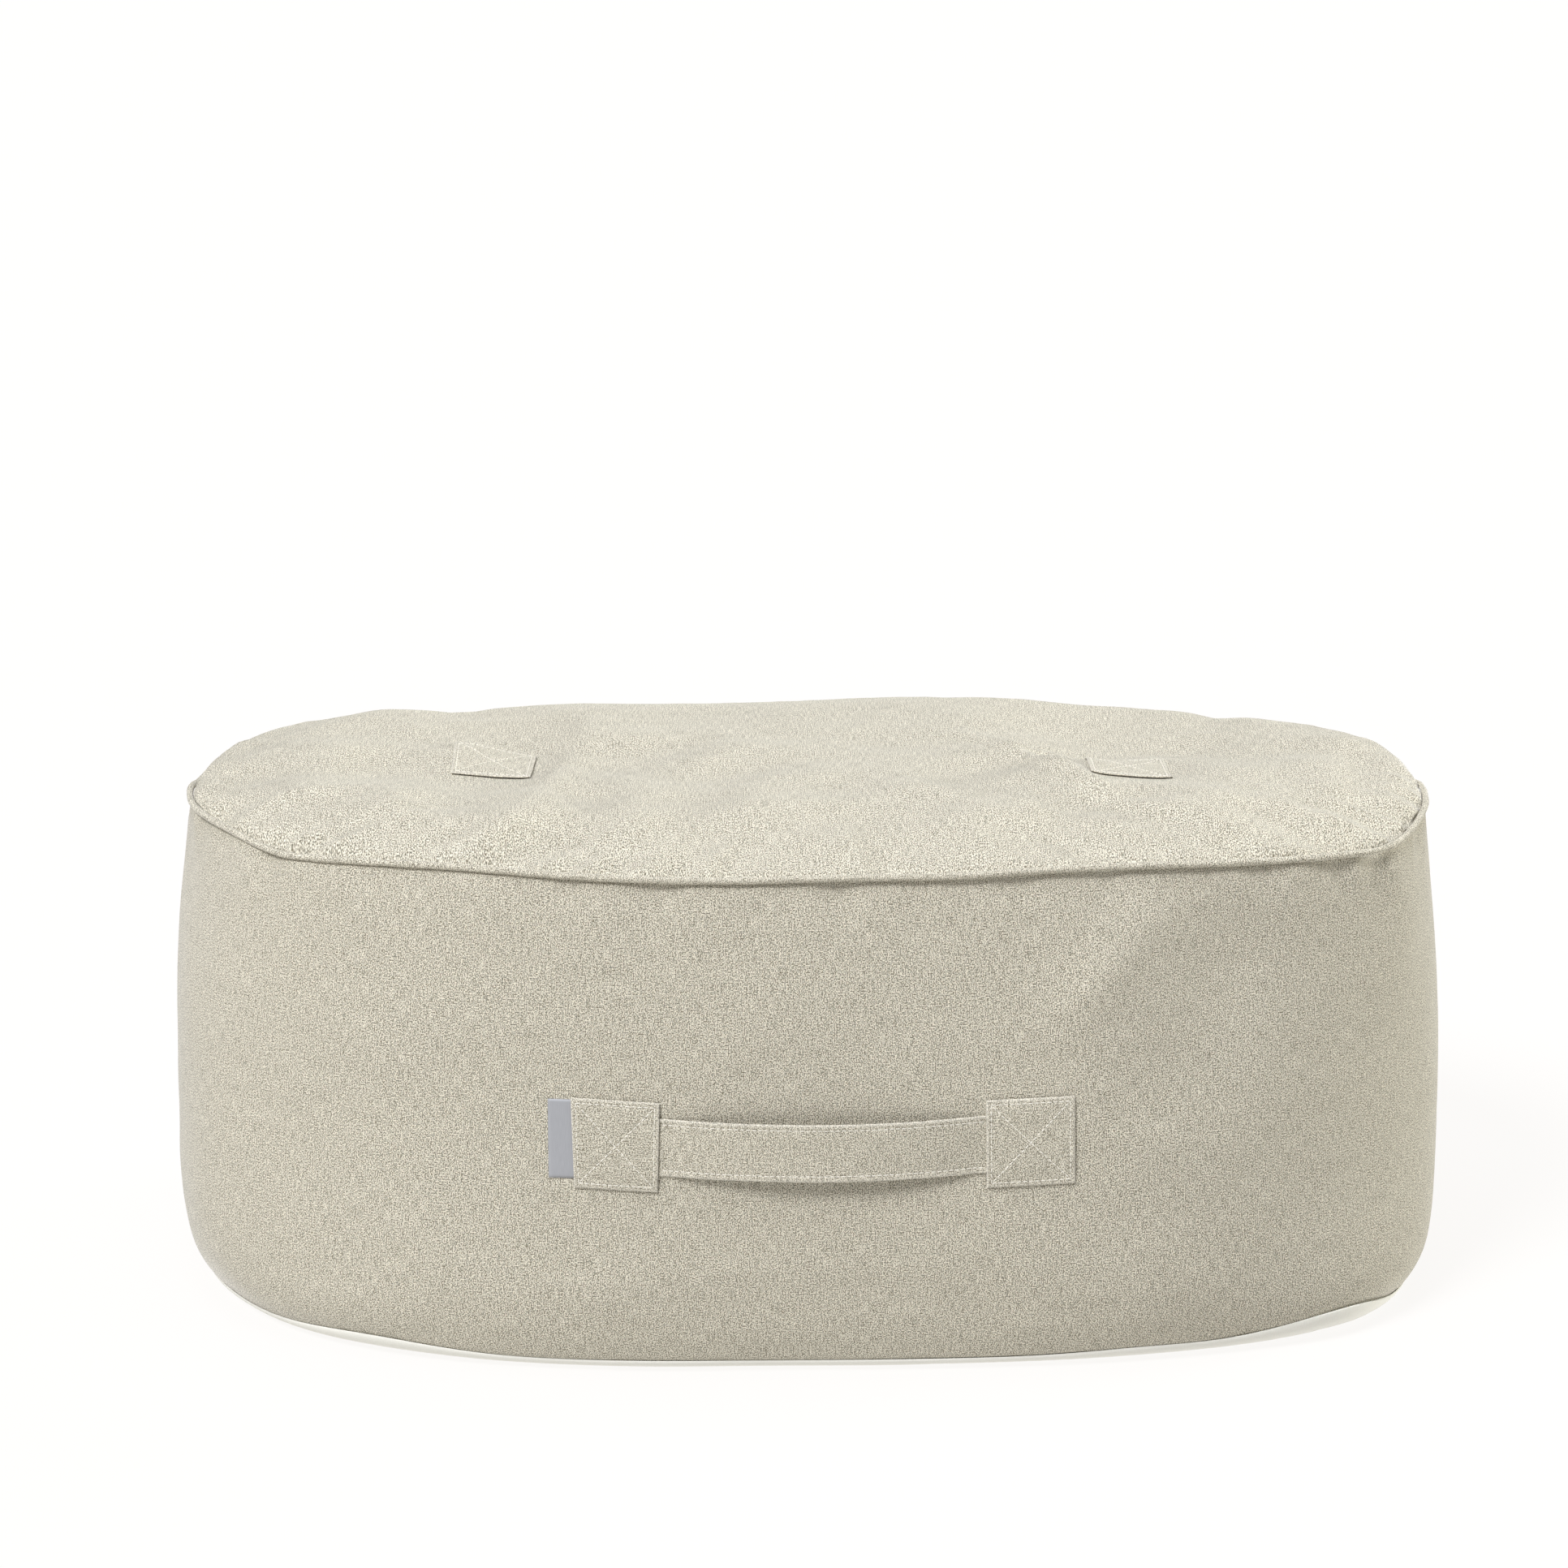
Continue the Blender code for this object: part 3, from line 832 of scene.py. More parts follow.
class FilledCover:
    """The cover and its filling: crown, band and underside, plumped by pressure from within."""

    shrink = 1.6 * MM
    travel = 2.6 * MM
    frames = 20
    held_reach = (16.0 * MM, 30.0 * MM)
    held_foot = (20.0 * MM, 40.0 * MM)
    crown_edge = -2.0 * MM
    follow_reach = 5.0 * MM
    follow_crown = 22.0 * MM
    follow_band = 60.0 * MM
    upper_half = 0.3
    longest = 8.0 * MM
    refined_from = 0.425
    seam_low = 0.4
    hug_end = 8.0 * MM
    hug_crown = 3.2 * MM
    hug_band = 3.1 * MM
    hug_curve = 1.9
    shelf = 0.6 * MM
    shelf_start = 8.0 * MM
    shelf_depth = 52.0 * MM
    shelf_zone = (-0.06, 0.33, 0.02)
    swells = ((7.0, 3.2 * MM), (17.0, 1.0 * MM), (38.0, 0.2 * MM))
    swell_seed = (3.1, 1.7, 9.2)
    crown_swell = (13.0, 8.5 * MM)
    crown_seed = (7.7, 4.1, 0.6)
    crown_fade = (-160.0 * MM, 120.0 * MM)
    rim_fade = 60.0 * MM
    foot_fade = 60.0 * MM
    pucker = 6.0 * MM
    pucker_length = 30.0 * MM
    front_pucker = 0.7
    front_length = 35.0 * MM
    puckers = 10.0
    pucker_shape = (0.3, 1.8)
    pucker_seeds = (2.0, 7.0)
    pucker_climb = 4.0
    pucker_start = 10.0 * MM
    front_reach = 150.0 * MM
    strap_zone = (0.26, 0.222, 0.075)
    strap_calm = 0.8
    tuck = 12.0 * MM
    tuck_depth = 8.0 * MM
    under_top = 12.0 * MM
    crown_flat = (1.0, 0.65)
    crown_shift = 5.0
    band_top = 0.44
    band_half = 0.25
    band_steps = 44
    crown_creases = (
        Crease(8.0, 22.0, ((-206, 160), (-226, 9), (-247, -180), (-305, -290))),
        Crease(9.5, 15.0, ((137, 92), (182, 48), (230, -55), (283, -170), (353, -210))),
        Crease(5.0, 10.0, ((180, 30), (235, 20), (290, -60))),
        Crease(-8.0, 30.0, ((221, -192), (265, -155), (321, -190))),
        Crease(3.0, 12.0, ((190, -120), (204, -236))),
        Crease(6.5, 32.0, ((-63, -100), (-54, -236))),
        Crease(-4.0, 18.0, ((-195, -110), (-186, -230))),
        Crease(4.5, 18.0, ((-378, -120), (-377, -215))),
        Crease(-3.5, 12.0, ((402, -110), (402, -190))),
        Crease(-3.5, 12.0, ((455, -90), (462, -180))),
        Crease(-5.0, 15.0, ((526, 60), (514, -60), (495, -160))),
        Crease(2.0, 10.0, ((555, 40), (545, -60), (530, -130))),
        Crease(2.2, 10.0, ((-400, 150), (-365, 90), (-345, 60))),
        Crease(-5.0, 26.0, ((-352, 330), (-347, 260), (-330, 150))),
        Crease(2.5, 35.0, ((-470, 240), (-430, 200), (-410, 130))),
        Crease(7.0, 17.0, ((-556, -100), (-560, 50), (-537, 130), (-470, 240))),
        Crease(-4.5, 24.0, ((420, 300), (408, 230), (390, 130))),
        Crease(6.0, 17.0, ((556, -80), (558, 50), (535, 130), (470, 240))),
    )
    band_creases = (
        Crease(4.6, 22.0, ((330, 440), (300, 415), (255, 367), (205, 310))),
        Crease(-9.0, 55.0, ((400, 430), (385, 400), (355, 330), (330, 220))),
        Crease(-3.5, 45.0, ((500, 430), (480, 360), (465, 250))),
        Crease(-1.8, 7.0, ((475, 455), (482, 430), (485, 405))),
        Crease(2.0, 8.0, ((520, 455), (528, 430), (540, 395))),
        Crease(-1.6, 8.0, ((550, 460), (556, 430), (560, 400))),
        Crease(1.6, 12.0, ((-425, 455), (-405, 430), (-390, 395))),
    )

    def __init__(self, welt: WeltLine, finishes: Finishes) -> None:
        """Keeps the seam line and the finishes."""
        self.welt = welt
        self.finishes = finishes

    def build(self) -> Piece:
        """Returns:
            The piece.
        """
        piece = piece_from(cad_shape("filled_cover"), "cover", self.finishes.cover)
        subdivide(piece, 1)
        self.plump(piece)
        self.follow_seam(piece)
        subdivide(piece, 1)
        self.refine(piece)
        self.crease(piece)
        self.hug_cording(piece)
        self.map_cloth(piece)
        declare(piece, "cover_cloth", "filled_cover")
        return piece

    def plump(self, piece: Piece) -> None:
        """Fills the cover by cloth simulation, held at the seam and at the base.

        Args:
            piece: The cover, which is moved by at most the travel.
        """
        start = points_of(piece.data)
        far = np.hypot(*self.seam_place(start, self.welt.packed_level))
        free = self.ramp(far, *self.held_reach) * self.ramp(start[:, 2], *self.held_foot)
        move_points(piece.data, start - normals_of(piece.data) * (free * self.shrink)[:, None])
        held = piece.vertex_groups.new(name="held")
        for index in np.flatnonzero(free == 0):
            held.add([int(index)], 1.0, "REPLACE")
        cloth = piece.modifiers.new("plump", "CLOTH")
        cloth.settings.quality = 5
        cloth.settings.mass = 0.3
        cloth.settings.use_pressure = True
        cloth.settings.uniform_pressure_force = 4.0
        cloth.settings.vertex_group_mass = held.name
        cloth.settings.effector_weights.gravity = 0.0
        cloth.collision_settings.use_collision = False
        cloth.point_cache.frame_start = 1
        cloth.point_cache.frame_end = self.frames
        for step in range(1, self.frames + 1):
            bpy.context.scene.frame_set(step)
        graph = bpy.context.evaluated_depsgraph_get()
        filled = points_of(piece.evaluated_get(graph).data)
        moved = filled - points_of(piece.data)
        far = np.linalg.norm(moved, axis=1)
        LOG.info("plumped: mean travel %.2f mm, most %.2f mm", far.mean() / MM, far.max() / MM)
        limit = np.minimum(1.0, self.travel / np.maximum(far, TINY))
        piece.modifiers.clear()
        piece.vertex_groups.clear()
        move_points(piece.data, points_of(piece.data) + moved * limit[:, None])
        bpy.context.scene.frame_set(1)

    @staticmethod
    def ramp(values: Array, start: float, length: Array | float) -> Array:
        """Rises from 0 at the start to 1 after the length."""
        return np.clip((values - start) / length, 0, 1)

    def seam_place(self, points: Array, levels: Array) -> tuple[Array, Array]:
        """Gives how far points lie outside and above the seam.

        Args:
            points: The points.
            levels: The seam's height at each of its stations.

        Returns:
            The two distances.
        """
        reach = np.hypot(*(points[:, :2] - self.welt.centre).T)
        return reach - self.welt.at(points, self.welt.reach), points[:, 2] - self.welt.at(points, levels)

    def follow_seam(self, piece: Piece) -> None:
        """Moves the cloth beside the seam up or down with it.

        Args:
            piece: The cover.
        """
        points = points_of(piece.data)
        beside, above = self.seam_place(points, self.welt.packed_level)
        fade = np.where(above > self.crown_edge, self.follow_crown, self.follow_band)
        share = self.ramp(np.hypot(beside, above), self.follow_reach, fade)
        share = 1 - share * share * (3 - 2 * share)
        points[:, 2] += self.welt.rise(self.welt.turn(points)) * share * (points[:, 2] > self.upper_half)
        move_points(piece.data, points)

    def refine(self, piece: Piece) -> None:
        """Cuts the long edges of the crown and the top of the band, so that creases are smooth.

        Args:
            piece: The cover.
        """
        shape = bmesh.new()
        shape.from_mesh(piece.data)
        for _ in range(2):
            high = [edge for edge in shape.edges if min(end.co.z for end in edge.verts) > self.refined_from]
            long = [edge for edge in high if edge.calc_length() > self.longest]
            bmesh.ops.subdivide_edges(shape, edges=long, cuts=1, use_grid_fill=True)
        shape.to_mesh(piece.data)
        shape.free()
        piece.data.shade_smooth()

    def crease(self, piece: Piece) -> None:
        """Adds the ridges, the puckers along the seam and an unevenness of the filling.

        Args:
            piece: The cover.
        """
        points = points_of(piece.data)
        beside, above = self.seam_place(points, self.welt.line[:, 2])
        far = np.hypot(beside, above)
        crown = (above > 0) & (points[:, 2] > self.seam_low)
        front = ~crown & (points[:, 1] < 0)
        lift = crown * sum(crease.heights(points[:, :2]) for crease in self.crown_creases)
        lift += front * sum(crease.heights(points[:, [0, 2]]) for crease in self.band_creases)
        half, level, reach = self.strap_zone
        behind_strap = front & (np.abs(points[:, 0]) < half)
        calm = 1 - self.strap_calm * behind_strap * np.exp(-(((points[:, 2] - level) / reach) ** 4))
        calm *= self.ramp(points[:, 2], 0.0, self.foot_fade)
        for finer, height in self.swells:
            lift += noises(points * finer + self.swell_seed) * height * calm
        finer, height = self.crown_swell
        inner = crown * self.ramp(-points[:, 1], *self.crown_fade) * self.ramp(-beside, 0.0, self.rim_fade)
        lift += noises(points * finer + self.crown_seed) * height * inner
        lift += self.gathers(points, crown, far)
        under = rounded(far, self.shelf_depth) * self.ramp(far, 0.0, self.shelf_start)
        centre, half, edge = self.shelf_zone
        bounds = 1 / (1 + np.exp((np.abs(points[:, 0] - centre) - half) / edge))
        lift -= self.shelf * front * under * bounds
        move_points(piece.data, points + normals_of(piece.data) * lift[:, None])

    def gathers(self, points: Array, crown: Array, far: Array) -> Array:
        """Gives the height of the puckers that the seam draws in, deeper at the front of the crown.

        Args:
            points: The cover's points.
            crown: Whether each is on the crown.
            far: Its distance from the seam.

        Returns:
            The heights.
        """
        turn = self.welt.length(points) / self.welt.girth * 2 * math.pi
        levels = np.where(crown, *self.pucker_seeds) + far * self.pucker_climb
        rings = self.welt.ring(turn, self.puckers, levels)
        nearer = crown * self.ramp(-points[:, 1], 0.0, self.front_reach)
        ridge, hollow = self.pucker_shape
        height = self.pucker * (1 + self.front_pucker * nearer) * (ridge - hollow * np.abs(noises(rings)))
        fade = np.exp(-far / (self.pucker_length + self.front_length * nearer))
        return height * self.ramp(far, 0.0, self.pucker_start) * fade

    def hug_cording(self, piece: Piece) -> None:
        """Draws the cloth up to the cording from above, and in under it from below.

        Args:
            piece: The cover.
        """
        points = points_of(piece.data)
        flat = points[:, :2] - self.welt.centre
        away = flat / np.maximum(np.hypot(*flat.T), TINY)[:, None]
        beside, above = self.seam_place(points, self.welt.line[:, 2])
        far = np.hypot(beside, above)
        near = np.where(above > 0, self.hug_crown, self.hug_band)
        share = np.clip((far - near) / (self.hug_end - near), 0, 1)
        wanted = near + (self.hug_end - near) * share**self.hug_curve
        pull = np.where((far > near) & (far < self.hug_end), wanted / np.maximum(far, TINY), 1.0) - 1
        points[:, :2] += away * (beside * pull)[:, None]
        points[:, 2] += above * pull
        move_points(piece.data, points)

    def map_cloth(self, piece: Piece) -> None:
        """Maps each panel in metres: the crown and underside flat, the band round and up.

        Args:
            piece: The cover.
        """
        mesh = piece.data
        points = points_of(mesh)
        beside, above = self.seam_place(points, self.welt.line[:, 2])
        tucked = np.clip(-beside, 0, self.tuck) * np.clip(2 + above / self.tuck_depth, 0, 1)
        up_place = self.band_heights(points) + tucked
        inside = (beside < 0) & (above > -1 * MM)
        corners = read_all(mesh.loops, "vertex_index", int)
        starts = read_all(mesh.polygons, "loop_start", int)
        totals = read_all(mesh.polygons, "loop_total", int)
        panels = np.full(len(totals), Panel.BAND.value)
        middle = np.add.reduceat(points[corners], starts) / totals[:, None]
        share_in = np.add.reduceat(inside[corners].astype(float), starts) / totals
        panels[(middle[:, 2] > self.upper_half) & (share_in > 0.5)] = Panel.CROWN.value
        panels[middle[:, 2] < self.under_top] = Panel.UNDER.value
        face = np.repeat(np.arange(len(totals)), totals)
        along = self.welt.length(points)[corners]
        spread = (np.maximum.reduceat(along, starts) - np.minimum.reduceat(along, starts))[face]
        half = self.welt.girth / 2
        along = np.where((spread > half) & (along < half), along + self.welt.girth, along)
        band = panels[face] == Panel.BAND.value
        laid = points[corners][:, :2] * self.crown_flat + self.crown_shift
        places = np.where(band[:, None], np.stack([along, up_place[corners]], 1), laid)
        layer = mesh.uv_layers.new(name=CLOTH_MAP)
        layer.data.foreach_set("uv", places.astype(np.float32).ravel())

    def band_heights(self, points: Array) -> Array:
        """Measures up the band along its curve.

        Args:
            points: The cover's points.

        Returns:
            Each point's metres up the band.
        """
        below = (points[:, 1] < 0) & (points[:, 2] < self.band_top)
        front = points[(np.abs(points[:, 0]) < self.band_half) & below]
        out = self.seam_place(front, self.welt.packed_level)[0]
        edges = np.linspace(0.0, self.band_top, self.band_steps + 1)
        boxes = np.digitize(front[:, 2], edges) - 1
        counts = np.maximum(np.bincount(boxes, minlength=len(edges)), 1)
        profile = (np.bincount(boxes, out, len(edges)) / counts)[:-1]
        middles = (edges[:-1] + edges[1:]) / 2
        steps = np.hypot(np.diff(middles), np.diff(profile))
        heights = np.interp(points[:, 2], middles, np.concatenate([[0], np.cumsum(steps)]), left=-0.01)
        return heights + np.maximum(points[:, 2] - middles[-1], 0)


@dataclass
class TopPiping:
    """The fabric-covered cord sewn into the top seam, cut on the bias."""

    welt: WeltLine
    finishes: Finishes
    radius: float = 3.1 * MM
    sides: int = 14
    swells: tuple[tuple[float, float, float], ...] = ((0.035, 0.71, 0.0), (0.03, 0.293, 1.0))

    def build(self) -> Piece:
        """Builds the cording as a closed tube along the seam.

        Returns:
            The piece.
        """
        line = self.welt.line
        ahead = np.roll(line, -1, 0) - np.roll(line, 1, 0)
        ahead /= np.linalg.norm(ahead, axis=1)[:, None]
        out = np.cross(ahead, (0.0, 0.0, 1.0))
        out /= np.linalg.norm(out, axis=1)[:, None]
        rise = np.cross(out, ahead)

        def place(along: Array, about: Array) -> Array:
            """Puts the grid's points round the cord."""
            station = np.rint(along * len(line)).astype(int) % len(line)
            angle = about * 2 * math.pi
            swell = 1 + sum(share * np.sin(station * pace + start) for share, pace, start in self.swells)
            across = out[station] * np.cos(angle)[:, None] + rise[station] * np.sin(angle)[:, None]
            return line[station] + across * (self.radius * swell)[:, None]

        lines = (np.linspace(0, 1, len(line) + 1), np.linspace(0, 1, self.sides + 1))
        shape = cloth_grid(lines, (self.welt.girth, 2 * math.pi * self.radius), place)
        bmesh.ops.remove_doubles(shape, verts=shape.verts, dist=TINY)
        bmesh.ops.recalc_face_normals(shape, faces=shape.faces)
        piece = piece_from(shape, "piping", self.finishes.cover)
        declare(piece, "cover_cloth", "top_piping")
        return piece


@dataclass
class BasePanel:
    """The off-white base, turned up a little round the bottom of the cover."""

    finishes: Finishes
    flat: tuple[float, float] = (1.20, 0.70)
    area: float = 0.69

    def build(self, cover: Piece) -> Piece:
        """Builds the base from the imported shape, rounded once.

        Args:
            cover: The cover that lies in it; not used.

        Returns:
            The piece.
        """
        piece = piece_from(cad_shape("base_panel"), "base", self.finishes.base)
        subdivide(piece, 1)
        declare(piece, "base_cloth", "base_panel")
        return piece


@dataclass
class CarryingStrap:
    """The flat strap of the cover cloth, standing a hand's thickness off the front."""

    finishes: Finishes
    stations: int = 121
    seam_points: int = 60
    cells: int = 170
    middle_lines: int = 7
    edge_lines: tuple[float, ...] = (0.0, 0.35, 0.9, 2.0, 3.4, 4.5, 5.5, 6.5, 7.8)
    margin: float = 0.3 * MM
    step: float = 0.4 * MM
    smoothing: int = 9
    thickness: float = 2.0 * MM
    seam: float = 5.5 * MM
    fold: EdgeLine = EdgeLine(0.25, 2.6, 1.8)
    sewn_in: EdgeLine = EdgeLine(-0.45, 5.5, 1.0)
    round_width: float = 1.2 * MM
    round_depth: float = 0.9 * MM
    hem_width: float = 2.2 * MM
    waver: float = 0.25 * MM
    waver_turns: tuple[float, float, float, float] = (210.0, 60.0, 83.0, 1.3)
    drawn_in: float = 0.9

    def build(self, cover: Piece) -> Piece:
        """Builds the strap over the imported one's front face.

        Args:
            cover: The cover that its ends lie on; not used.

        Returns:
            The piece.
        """
        packed = Ground([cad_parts["handle_strap"]], Facing.FRONT)
        self.read_edges(packed)
        left, right = float(self.xs[0]), float(self.xs[-1])
        width = float((self.upper - self.lower).mean())

        def place(along: Array, up: Array) -> Array:
            """Puts the grid's points on the front of the strap."""
            x = left + along * (right - left)
            bottom = np.interp(x, self.xs, self.lower)
            top = np.interp(x, self.xs, self.upper)
            z = bottom + up * (top - bottom)
            middle = (bottom + top) / 2
            out = packed.levels(np.stack([x, middle + (z - middle) * self.drawn_in], 1))
            rim = np.minimum(up, 1 - up) * width
            out += self.fold.at(rim) + self.sewn_in.at(rim)
            out -= self.round_depth * rounded(rim, self.round_width)
            first, across, second, start = self.waver_turns
            out += self.waver * np.sin(x * first + z * across) * np.sin(x * second + start)
            return Facing.FRONT.points(np.stack([x, z], 1), out)

        def hem(_along: Array, up: Array) -> Array:
            """Gives the paler turned edge."""
            return bell(np.minimum(up, 1 - up) * width, self.hem_width)

        flat = (right - left, width)
        lines = (np.linspace(0, 1, self.cells + 1), cross_lines(self.edge_lines, width, self.middle_lines))
        shape = cloth_grid(lines, flat, place, hem)
        piece = sheet_from(shape, Facing.FRONT, "strap", self.finishes.cover, self.thickness)
        declare(piece, "cover_cloth", "handle_strap")
        return piece

    def read_edges(self, packed: Ground) -> None:
        """Reads the strap's lower and upper edges, smoothed, at even stations along it.

        Args:
            packed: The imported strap, seen from the front.
        """
        low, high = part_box("handle_strap")
        self.xs = np.linspace(low.x + self.margin, high.x - self.margin, self.stations)
        heights = np.arange(low.z, high.z, self.step)
        edges = np.full((2, self.stations), np.nan)
        for index, x in enumerate(self.xs):
            hits = [height for height in heights if packed.find(float(x), float(height))]
            if hits:
                edges[:, index] = hits[0], hits[-1]
        known = ~np.isnan(edges[0])
        even = np.ones(self.smoothing) / self.smoothing
        self.lower, self.upper = (
            np.convolve(np.pad(np.interp(self.xs, self.xs[known], edge[known]), 4, "edge"), even, "valid")
            for edge in edges
        )


@dataclass
class SewnPatch:
    """A square patch with turned hems, a boxed seam and a cross of stitches."""

    node: str
    name: str
    facing: Facing
    finishes: Finishes
    turned: bool = False
    cells: int = 44
    edge_lines: tuple[float, ...] = (0.0, 0.4, 1.0, 1.9, 2.9, 3.8, 4.6, 5.4, 6.3, 7.6)
    rounds: int = 900
    lift: float = 1.9 * MM
    thickness: float = 1.6 * MM
    hem: float = 5.2 * MM
    hem_height: float = 0.6 * MM
    hem_step: tuple[float, float] = (0.6 * MM, 0.9 * MM)
    hem_tone: float = 1.8 * MM
    inset: float = 4.4 * MM
    cross_margin: float = 1.35
    sewn_in: EdgeLine = EdgeLine(-0.7, 4.4, 0.9)
    cross: EdgeLine = EdgeLine(-0.55, 0.0, 1.5)
    round_width: float = 1.0 * MM
    round_depth: float = 0.8 * MM

    def build(self, ground: Ground, rests_on: list[Piece]) -> Piece:
        """Lays the patch on what lies under it, stiff enough to bridge small hollows.

        Args:
            ground: The surfaces under the patch.
            rests_on: The pieces under the patch; not used.

        Returns:
            The piece.
        """
        self.corners = packed_corners(self.node, self.facing)
        side = self.side()

        def place(a: Array, b: Array) -> Array:
            """Puts the grid's points on the ground."""
            flat = between(self.corners, a, b)
            out = self.stiffen(ground.levels(flat), a, b) + self.lift + self.relief(a, b, side)
            return self.facing.points(flat, out)

        def tone(a: Array, b: Array) -> Array:
            """Gives the paler turned edge."""
            return bell(self.rim(a, b, side), self.hem_tone)

        lines = cross_lines(self.edge_lines, side, self.cells + 1 - 2 * len(self.edge_lines))
        shape = cloth_grid((lines, lines), (side, side), place, tone, self.turned)
        piece = sheet_from(shape, self.facing, self.name, self.finishes.cover, self.thickness)
        declare(piece, "cover_cloth", self.node)
        return piece

    def side(self) -> float:
        """Gives the patch's mean side."""
        return float(np.linalg.norm(self.corners - np.roll(self.corners, 1, 0), axis=1).mean())

    @staticmethod
    def rim(a: Array, b: Array, side: float) -> Array:
        """Gives the distance to the nearest edge."""
        return np.minimum(np.minimum(a, 1 - a), np.minimum(b, 1 - b)) * side

    def relief(self, a: Array, b: Array, side: float) -> Array:
        """Shapes the hem, the sewn-in lines and the rounded rim.

        Args:
            a: The shares along.
            b: The shares up.
            side: The patch's side.

        Returns:
            The height over the plain cloth.
        """
        rim = self.rim(a, b, side)
        across = np.minimum(np.abs(a - b), np.abs(a + b - 1)) * side / math.sqrt(2)
        start, length = self.hem_step
        height = self.hem_height * np.clip((self.hem + start - rim) / length, 0, 1)
        height += self.sewn_in.at(rim)
        height += self.cross.at(across) * np.clip((rim - self.inset) / (2 * MM), 0, 1)
        return height - self.round_depth * rounded(rim, self.round_width)

    def stiffen(self, levels: Array, a: Array, b: Array) -> Array:
        """Lets the cloth bridge hollows, with its rim held down.

        Args:
            levels: The ground's levels under the grid's points.
            a: The shares along.
            b: The shares up.

        Returns:
            The cloth's levels.
        """
        order = np.lexsort((a, b))
        count = round(math.sqrt(len(levels)))
        floor = levels[order].reshape(count, count)
        laid = floor.copy()
        for _ in range(self.rounds):
            mean = (laid[:-2, 1:-1] + laid[2:, 1:-1] + laid[1:-1, :-2] + laid[1:-1, 2:]) / 4
            laid[1:-1, 1:-1] = np.maximum(floor[1:-1, 1:-1], mean)
        settled = np.empty(len(levels))
        settled[order] = laid.ravel()
        return settled

    def seam_lines(self) -> list[Array]:
        """Gives the boxed seam and the cross, as lines on the plane."""
        inset = self.inset / self.side()
        near, far = inset, 1 - inset
        square = [(near, near), (far, near), (far, far), (near, far), (near, near)]
        lines = [np.array(square[index : index + 2]) for index in range(4)]
        margin = inset * self.cross_margin
        lines.append(np.array([(margin, margin), (1 - margin, 1 - margin)]))
        lines.append(np.array([(margin, 1 - margin), (1 - margin, margin)]))
        return [between(self.corners, line[:, 0], line[:, 1]) for line in lines]


@dataclass
class LabelTab:
    """The bare satin tab caught under the left patch's outer edge."""

    finishes: Finishes
    cells: tuple[int, int] = (10, 24)
    clearance: float = 0.8 * MM
    lean: float = 3.0
    thickness: float = 0.5 * MM

    def build(self, cover: Piece) -> Piece:
        """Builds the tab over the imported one's front face.

        Args:
            cover: The cover that it lies on.

        Returns:
            The piece.
        """
        packed = Ground([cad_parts["label_tab"]], Facing.FRONT)
        under = Ground([cover], Facing.FRONT)
        corners = packed_corners("label_tab", Facing.FRONT, self.lean)

        def place(along: Array, up: Array) -> Array:
            """Puts the grid's points on the tab's front."""
            spot = between(corners, along, up)
            out = np.maximum(packed.levels(spot), under.levels(spot) + self.clearance)
            return Facing.FRONT.points(spot, out)

        size = tuple(float(np.linalg.norm(corners[index] - corners[0])) for index in (1, 3))
        lines = tuple(np.linspace(0, 1, cells + 1) for cells in self.cells)
        shape = cloth_grid(lines, size, place)
        piece = sheet_from(shape, Facing.FRONT, "label", self.finishes.satin, self.thickness)
        declare(piece, "label_satin", "label_tab")
        return piece


@dataclass
class Stitching:
    """Rows of sewing stitches, each a short bead of thread."""

    finishes: Finishes
    length: float = 4.4 * MM
    gap: float = 0.9 * MM
    radius: float = 0.55 * MM
    raised: float = 0.35
    flatness: float = 0.8
    longest: float = 2.0

    def build(self, name: str, lines: list[Array], ground: Ground) -> Piece:
        """Sews lines onto a surface.

        Args:
            name: The piece's name.
            lines: The lines, on the plane that the ground is seen on.
            ground: The surface that is sewn.

        Returns:
            The piece.
        """
        shape = bmesh.new()
        for line in lines:
            self.sew(shape, line, ground)
        piece = piece_from(shape, name, self.finishes.thread)
        declare(piece, "seam_thread")
        return piece

    def sew(self, shape: Shape, line: Array, ground: Ground) -> None:
        """Adds the stitches of one line.

        Args:
            shape: The shape that they are added to.
            line: The line's points on the plane.
            ground: The surface that is sewn.
        """
        steps = np.concatenate([[0], np.cumsum(np.linalg.norm(np.diff(line, axis=0), axis=1))])
        count = max(1, round((steps[-1] + self.gap) / (self.length + self.gap)))
        pitch = (steps[-1] + self.gap) / count
        for index in range(count):
            ends = []
            for place in (index * pitch, (index + 1) * pitch - self.gap):
                flat = [float(np.interp(place, steps, line[:, axis])) for axis in (0, 1)]
                ends.append(ground.find(*flat))
            if None in ends:
                continue
            (start, normal), (end, _) = ends
            ahead = end - start
            if ahead.length > self.length * self.longest:
                continue
            side = normal.cross(ahead).normalized()
            up = ahead.normalized().cross(side)
            middle = (start + end) / 2 + up * self.radius * self.raised
            turn = Matrix((ahead.normalized(), side, up)).transposed().to_4x4()
            size = Matrix.Diagonal((ahead.length / 2, self.radius, self.radius * self.flatness, 1.0))
            place_at = Matrix.Translation(middle) @ turn @ size @ Matrix.Rotation(math.pi / 2, 4, "Y")
            bmesh.ops.create_uvsphere(shape, u_segments=6, v_segments=4, radius=1.0, matrix=place_at)


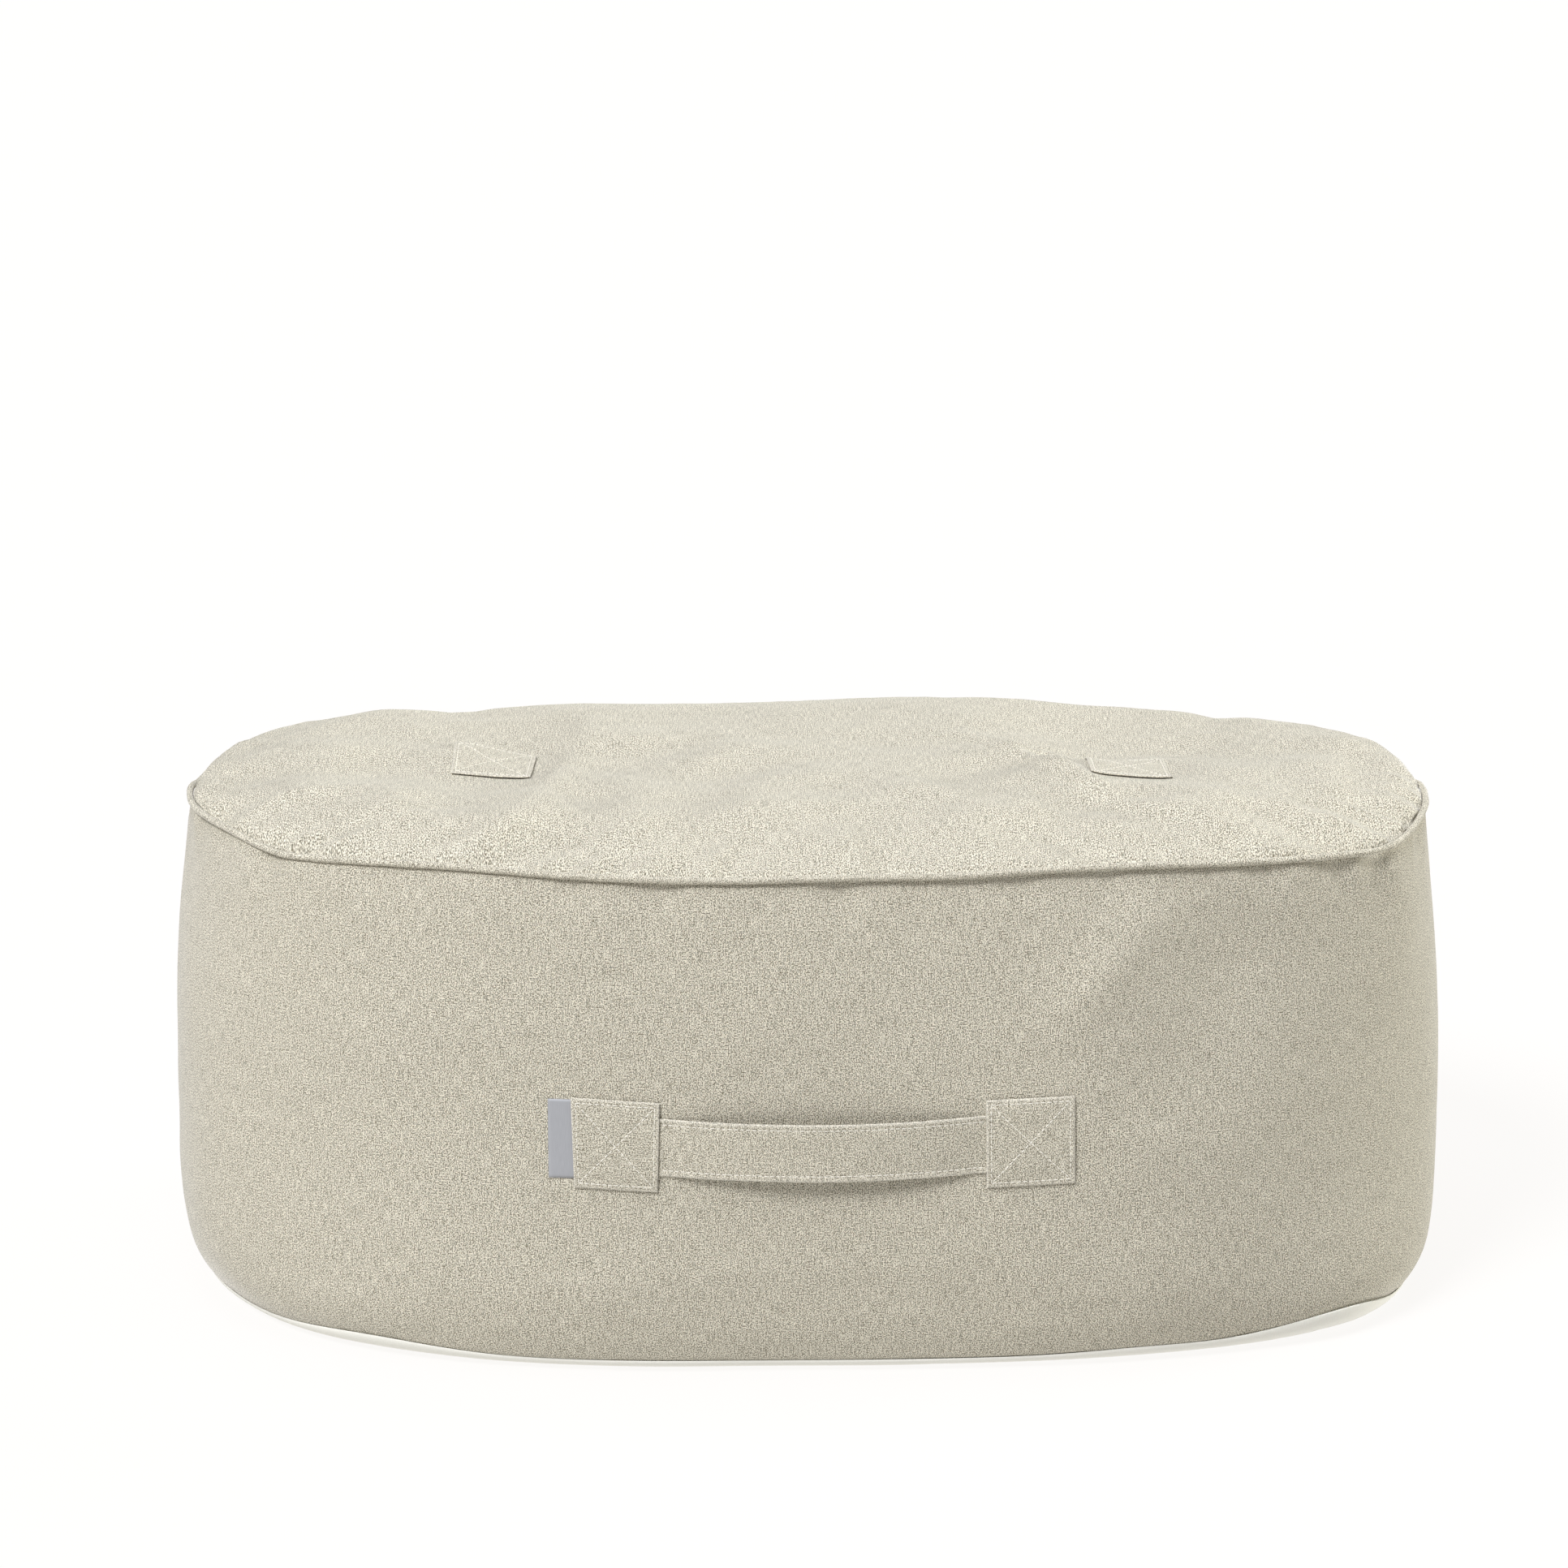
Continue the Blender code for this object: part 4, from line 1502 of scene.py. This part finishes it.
@dataclass(frozen=True)
class Lamp:
    """A broad far light: its name, strength, colour, width in degrees and the way to it."""

    name: str
    strength: float
    colour: tuple[float, float, float]
    width: float
    towards: tuple[float, float, float]

    def hang(self) -> None:
        """Adds the light to the scene."""
        light = bpy.data.lights.new(self.name, "SUN")
        light.energy = self.strength
        light.color = self.colour
        light.angle = math.radians(self.width)
        piece = bpy.data.objects.new(self.name, light)
        piece.rotation_mode = "QUATERNION"
        piece.rotation_quaternion = Vector(self.towards).to_track_quat("Z", "Y")
        bpy.context.scene.collection.objects.link(piece)


@dataclass
class Studio:
    """The white sweep, the soft light and the camera."""

    finishes: Finishes
    floor_size: float = 90.0
    sky: float = 0.05
    sky_tint: Colour = (0.96, 0.99, 1.03, 1.0)
    lamps: tuple[Lamp, ...] = (
        Lamp("top", 1.92, (0.98, 1.005, 1.07), 50.0, (-0.05, 0.0, 1.0)),
        Lamp("key", 3.0, (1.0, 1.005, 1.04), 20.0, (-0.430, -0.520, 0.738)),
        Lamp("rim", 2.9, (1.0, 0.99, 0.90), 30.0, (0.92, 0.37, 0.12)),
    )
    eye: tuple[float, float, float] = (-0.022, -4.1624, 1.579)
    pitch: float = 15.0
    lens: float = 104.78

    def build(self) -> None:
        """Builds the floor, the lights and the camera."""
        shape = bmesh.new()
        bmesh.ops.create_grid(shape, x_segments=6, y_segments=6, size=self.floor_size / 2)
        floor = piece_from(shape, "floor", self.finishes.studio)
        move_points(floor.data, points_of(floor.data) - (0.0, 0.0, 0.2 * MM))
        self.light()
        self.camera()

    def light(self) -> None:
        """Adds a weak even sky, a broad top light, a key from the front left and a low rim light."""
        world = bpy.data.worlds.new("studio")
        world.use_nodes = True
        back = world.node_tree.nodes["Background"]
        back.inputs["Color"].default_value = self.sky_tint
        back.inputs["Strength"].default_value = self.sky
        bpy.context.scene.world = world
        for lamp in self.lamps:
            lamp.hang()
        bpy.context.scene.view_settings.view_transform = "Standard"

    def camera(self) -> None:
        """Adds the camera, a little above the pouf and well back."""
        lens = bpy.data.cameras.new("camera")
        lens.lens = self.lens
        lens.sensor_width = 36.0
        lens.clip_end = 200.0
        eye = bpy.data.objects.new("camera", lens)
        eye.location = self.eye
        eye.rotation_euler = (math.radians(90 - self.pitch), 0.0, 0.0)
        bpy.context.scene.collection.objects.link(eye)
        bpy.context.scene.camera = eye


def sew_patches(
    finishes: Finishes,
    cover: Piece,
    strap: CarryingStrap,
    band: Piece,
    label: Piece,
) -> None:
    """Lays the four patches and sews them and the strap.

    Args:
        finishes: The finishes.
        cover: The cover.
        strap: The strap's maker, for its edges.
        band: The strap.
        label: The label tab, caught under the left patch.
    """
    front = Ground([cover, band, label], Facing.FRONT)
    top = Ground([cover], Facing.TOP)
    patches = (
        SewnPatch("handle_patch_left", "patch_left", Facing.FRONT, finishes, turned=True),
        SewnPatch("handle_patch_right", "patch_right", Facing.FRONT, finishes),
        SewnPatch("top_patch_left", "crown_patch_left", Facing.TOP, finishes),
        SewnPatch("top_patch_right", "crown_patch_right", Facing.TOP, finishes, turned=True),
    )
    thread = Stitching(finishes)
    inner = []
    for patch in patches:
        below = [cover, band] if patch.facing is Facing.FRONT else [cover]
        piece = patch.build(front if patch.facing is Facing.FRONT else top, below)
        sewn = Ground([piece], patch.facing)
        thread.build(f"stitches_{patch.name}", patch.seam_lines(), sewn)
        inner.append(patch.corners)
        LOG.info("sewed %s, %.1f mm a side", patch.name, patch.side() / MM)
    begin = inner[0][1:3, 0].max() + 2 * MM
    stop = inner[1][[0, 3], 0].min() - 2 * MM
    xs = np.linspace(begin, stop, strap.seam_points)
    lines = [
        np.stack([xs, np.interp(xs, strap.xs, strap.lower) + strap.seam], 1),
        np.stack([xs, np.interp(xs, strap.xs, strap.upper) - strap.seam], 1),
    ]
    thread.build("stitches_strap", lines, Ground([band], Facing.FRONT))


def main() -> None:
    """Builds the pouf piece by piece, then the studio."""
    logging.basicConfig(level=logging.INFO, format="%(message)s")
    finishes = Finishes()
    Studio(finishes).build()
    welt = WeltLine()
    LOG.info("welt: %.3f m round", welt.girth)
    cover = FilledCover(welt, finishes).build()
    LOG.info("cover: %d faces", len(cover.data.polygons))
    TopPiping(welt, finishes).build()
    BasePanel(finishes).build(cover)
    strap = CarryingStrap(finishes)
    band = strap.build(cover)
    label = LabelTab(finishes).build(cover)
    sew_patches(finishes, cover, strap, band, label)


if __name__ == "__main__":
    main()
